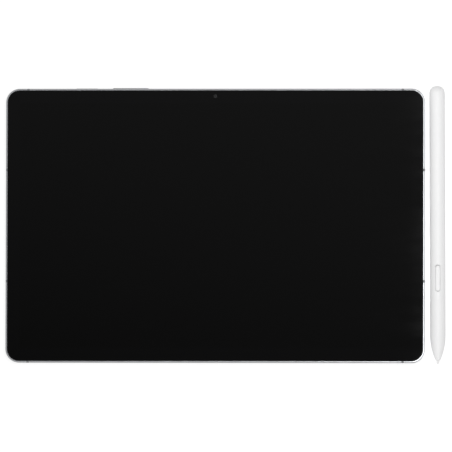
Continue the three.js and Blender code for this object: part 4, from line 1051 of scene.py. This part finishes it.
def build_tip():
    base = PEN_LOW.y
    steps = 2 * ROUND_STEPS
    taper = []
    for step in range(1, steps):
        share = step / steps
        taper.append((cone_radius(share), PEN_CONE_END + share * (base - PEN_CONE_END)))
    end_round = [(CONE_SMALL_RADIUS - CONE_END_INSET, PEN_CONE_END),
                 (CONE_SMALL_RADIUS, PEN_CONE_END + CONE_END_HEIGHT)]
    tip = turned([
        (NIB_BORE, PEN_CONE_END), *end_round, *taper[1:], (PEN_RADIUS, base - PEN_SEAM),
        (PEN_RADIUS - PEN_SEAM, base), (SPIGOT_RADIUS, base), (SPIGOT_RADIUS, base + SPIGOT_LENGTH),
        (NIB_BORE, base + SPIGOT_LENGTH),
    ], along_pen)
    stand_for("pen_tip", "pen_cone", tip, "white")
    low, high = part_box("pen_nib")
    point = bulge(0, low.y + NIB_ROUND, NIB_RADIUS, -NIB_ROUND)
    nib = turned([*point, (NIB_RADIUS, high.y), (0, high.y)], along_pen)
    stand_for("pen_nib", "pen_point", nib, "nib")


def build_button():
    """A button whose face follows the barrel, with a soft edge, over the flange that keeps it in."""
    outline = rounded(BUTTON_WIDTH, BUTTON_LENGTH, BUTTON_WIDTH / 2, 12)
    top = PEN_RADIUS + BUTTON_PROUD
    layers = quarter_round(top - BUTTON_EDGE, top, BUTTON_EDGE)
    last = BUTTON_WIDTH / 2 - BUTTON_RIDGE
    for step in range(1, BUTTON_INNER_STEPS + 1):
        share = step / BUTTON_INNER_STEPS
        layers.append((top, -BUTTON_EDGE - share * (last - BUTTON_EDGE)))
    loops = rings(outline, [(BUTTON_FLANGE_HIGH, 0), *layers], on_button)
    half_x = BUTTON_WIDTH / 2 + FLANGE_SIDE
    half_y = (BUTTON_LENGTH + FLANGE_LENGTH) / 2
    flange = block((-half_x, -half_y, BUTTON_FLANGE_LOW), (half_x, half_y, BUTTON_FLANGE_HIGH))
    turn = Matrix.Rotation(PEN_TURN, 4, "Z") @ Matrix.Rotation(PEN_ROLL, 4, "Y")
    flange.transform(Matrix.Translation(along_pen(0, 0, BUTTON_Y)) @ turn)
    button = together(skin(loops), flange)
    stand_for("pen_button", "pen_side_button", button, "white")


# ---- Inner parts -----------------------------------------------------------------------------------------


def dress_inner_parts():
    """The CAD nodes inside the tablet and the pen keep their shapes and get finished materials."""
    finishes = {
        "glass_gasket": "adhesive", "optical_adhesive": "clear", "display_panel": "strip",
        "graphite_sheet": "graphite", "main_camera_module": "black", "wide_camera_module": "black",
        "key_flex": "flex", "card_cage": "steel", "main_board": "board", "usb_board": "board",
        "board_flex": "flex", "display_flex": "flex", "battery_left": "cell", "battery_right": "cell",
        "pen_core": "board", "processor_shield": "steel", "radio_shield": "steel",
        "board_screw_1": "steel", "board_screw_2": "steel", "board_screw_3": "steel",
        "speaker_left_lower": "black", "speaker_left_upper": "black",
        "speaker_right_lower": "black", "speaker_right_upper": "black",
    }
    for node, finish in finishes.items():
        frame["nodes"][node].material_slots[0].material = materials[finish]


# ---- Stage -----------------------------------------------------------------------------------------------

VIEW_CENTRE = Vector((6.62 * MM, -0.25 * MM, GLASS_TOP))
VIEW_DISTANCE = 4.5
VIEW_TILT_RIGHT = math.radians(2.6)
VIEW_TILT_DOWN = math.radians(2.4)
VIEW_ROLL = math.radians(0.13)
FIELD = 0.27345
SENSOR_WIDTH = 36.0
FLOOR_SIZE = 60.0
FLOOR_WHITE = 0.35
FLOOR_GLOW = 0.75

# The room: what it mirrors as on the left and on the right, and what it lights with from the near side
# (-Y) and from the far side (+Y).
ROOM_MIRRORED_LEFT = 0.47
ROOM_MIRRORED_RIGHT = 0.60
ROOM_LIT_NEAR = 0.81
ROOM_LIT_FAR = 0.13
LAMP_PLACE = Vector((0.055, 0.12, 0.55))
LAMP_SIZE = 0.55
LAMP_POWER = 2.32

# The card over the glass: its height, its reach to each side, and how its level rises along X and Y.
CARD_HEIGHT = 0.5
CARD_LEFT = -0.2
CARD_RIGHT = 0.121
CARD_HALF_DEPTH = 0.18
CARD_LEVEL = 0.455
CARD_SLOPE = (0.42, 1.55, 0)

# The bright card that slopes down on the right of the tablet, where it fades into the room.
SIDE_CARD_FOOT = (0.36, 0.2)
SIDE_CARD_NEAR = -0.5
SIDE_CARD_FAR = 0.17
SIDE_CARD_LEVEL = 8.6
SIDE_CARD_SLOPE = (-22.1, 0, 0)

# The white card on the table between the tablet and the pen.
REFLECTOR_WIDTH = 2.6 * MM
REFLECTOR_LEVEL = 2.9


def build_camera():
    """A far camera that looks down at the screen, from a little to the right and below the middle."""
    data = bpy.data.cameras.new("camera")
    data.sensor_width = SENSOR_WIDTH
    data.lens = SENSOR_WIDTH * VIEW_DISTANCE / FIELD
    data.clip_end = 100.0
    camera = placed("camera", data)
    back = Vector((math.tan(VIEW_TILT_RIGHT), -math.tan(VIEW_TILT_DOWN), 1)).normalized()
    camera.location = VIEW_CENTRE + back * VIEW_DISTANCE
    up = Vector((-math.sin(VIEW_ROLL), math.cos(VIEW_ROLL), 0))
    up = (up - back * up.dot(back)).normalized()
    camera.rotation_mode = "QUATERNION"
    camera.rotation_quaternion = Matrix((up.cross(back), up, back)).transposed().to_quaternion()
    bpy.context.scene.camera = camera


def plane(name, corners, material):
    """A flat stage piece with four corners."""
    mesh = bpy.data.meshes.new(name)
    mesh.from_pydata(corners, [], [(0, 1, 2, 3)])
    mesh.materials.append(material)
    made = placed(name, mesh)
    return made


def level_corners(left, right, half_depth, height):
    return [(left, -half_depth, height), (right, -half_depth, height), (right, half_depth, height),
            (left, half_depth, height)]


def glowing(name, level, slope=(0, 0, 0)):
    """A material that gives off light of a level that rises along a slope."""
    material = bpy.data.materials.new(name)
    material.use_nodes = True
    nodes, links = material.node_tree.nodes, material.node_tree.links
    nodes.remove(nodes["Principled BSDF"])
    emission = nodes.new("ShaderNodeEmission")
    coordinates = nodes.new("ShaderNodeTexCoord")
    rise = nodes.new("ShaderNodeVectorMath")
    rise.operation = "DOT_PRODUCT"
    rise.inputs[1].default_value = slope
    total = nodes.new("ShaderNodeMath")
    total.inputs[1].default_value = level
    links.new(coordinates.outputs["Object"], rise.inputs[0])
    links.new(rise.outputs["Value"], total.inputs[0])
    links.new(total.outputs["Value"], emission.inputs["Strength"])
    links.new(emission.outputs["Emission"], nodes["Material Output"].inputs["Surface"])
    return material


def build_floor():
    """A white table that also glows, so that it stays white beside the tablet."""
    glow = {"Emission_Color": (1, 1, 1, 1), "Emission_Strength": FLOOR_GLOW}
    material = shader("pale_floor", (FLOOR_WHITE, FLOOR_WHITE, FLOOR_WHITE), roughness=0.9, **glow)
    half = FLOOR_SIZE / 2
    floor = plane("floor", level_corners(-half, half, half, cad_box[0].z), material)
    hidden_from(floor, "glossy")


def build_cards():
    """Cards that only reflections see: over the glass, on the right, and between the tablet and the pen."""
    over = plane("upper_card", level_corners(CARD_LEFT, CARD_RIGHT, CARD_HALF_DEPTH, CARD_HEIGHT),
                 glowing("upper_card", CARD_LEVEL, CARD_SLOPE))
    foot_x, foot_z = SIDE_CARD_FOOT
    near, far = SIDE_CARD_NEAR, SIDE_CARD_FAR
    corners = [(CARD_RIGHT, near, CARD_HEIGHT), (foot_x, near, foot_z), (foot_x, far, foot_z),
               (CARD_RIGHT, far, CARD_HEIGHT)]
    side = plane("side_card", corners, glowing("side_card", SIDE_CARD_LEVEL, SIDE_CARD_SLOPE))
    corners = level_corners(HALF_X, HALF_X + REFLECTOR_WIDTH, HALF_Y, cad_box[0].z)
    table = plane("table_card", corners, glowing("table_card", REFLECTOR_LEVEL))
    for card in (over, side, table):
        hidden_from(card, "camera", "diffuse", "shadow", "transmission")


def build_light():
    """A pale room that mirrors as dimmer on the left than on the right, and a large soft lamp overhead."""
    world = bpy.data.worlds.new("studio")
    bpy.context.scene.world = world
    world.use_nodes = True
    world.cycles.sampling_method = "NONE"
    tree = world.node_tree
    coordinates = tree.nodes.new("ShaderNodeTexCoord")
    axes = tree.nodes.new("ShaderNodeSeparateXYZ")
    tree.links.new(coordinates.outputs["Generated"], axes.inputs["Vector"])
    path = tree.nodes.new("ShaderNodeLightPath")
    mirrored = add_node(
        tree, "ShaderNodeMapRange", Value=axes.outputs["X"],
        From_Min=-1, From_Max=1, To_Min=ROOM_MIRRORED_LEFT, To_Max=ROOM_MIRRORED_RIGHT)
    lit = add_node(
        tree, "ShaderNodeMapRange", Value=axes.outputs["Y"],
        From_Min=-1, From_Max=1, To_Min=ROOM_LIT_NEAR, To_Max=ROOM_LIT_FAR)
    level = add_node(tree, "ShaderNodeMix", Factor=path.outputs["Is Glossy Ray"], A=lit, B=mirrored)
    level = add_node(tree, "ShaderNodeMix", Factor=path.outputs["Is Camera Ray"], A=level, B=1.0)
    background = tree.nodes["Background"]
    background.inputs["Color"].default_value = (1, 1, 1, 1)
    tree.links.new(level, background.inputs["Strength"])
    data = bpy.data.lights.new("soft_lamp", "AREA")
    data.shape = "SQUARE"
    data.size = LAMP_SIZE
    data.energy = LAMP_POWER
    lamp = placed("soft_lamp", data)
    lamp.location = LAMP_PLACE
    lamp.rotation_mode = "QUATERNION"
    lamp.rotation_quaternion = LAMP_PLACE.to_track_quat("Z", "Y")
    hidden_from(lamp, "camera", "glossy", "transmission")


# ---- Everything ------------------------------------------------------------------------------------------

build_camera()
build_floor()
build_cards()
build_light()
bpy.context.scene.view_settings.view_transform = "Standard"

build_enclosure()
build_front()
build_rear_cameras()
build_key("power_key", "power_key_cap", POWER_FLANGE_GAP)
build_key("volume_rocker", "volume_key_cap", VOLUME_FLANGE_GAP)
build_tray()
build_usb()
build_grilles()
build_contacts()
build_barrel()
build_end_cap()
build_tip()
build_button()
dress_inner_parts()
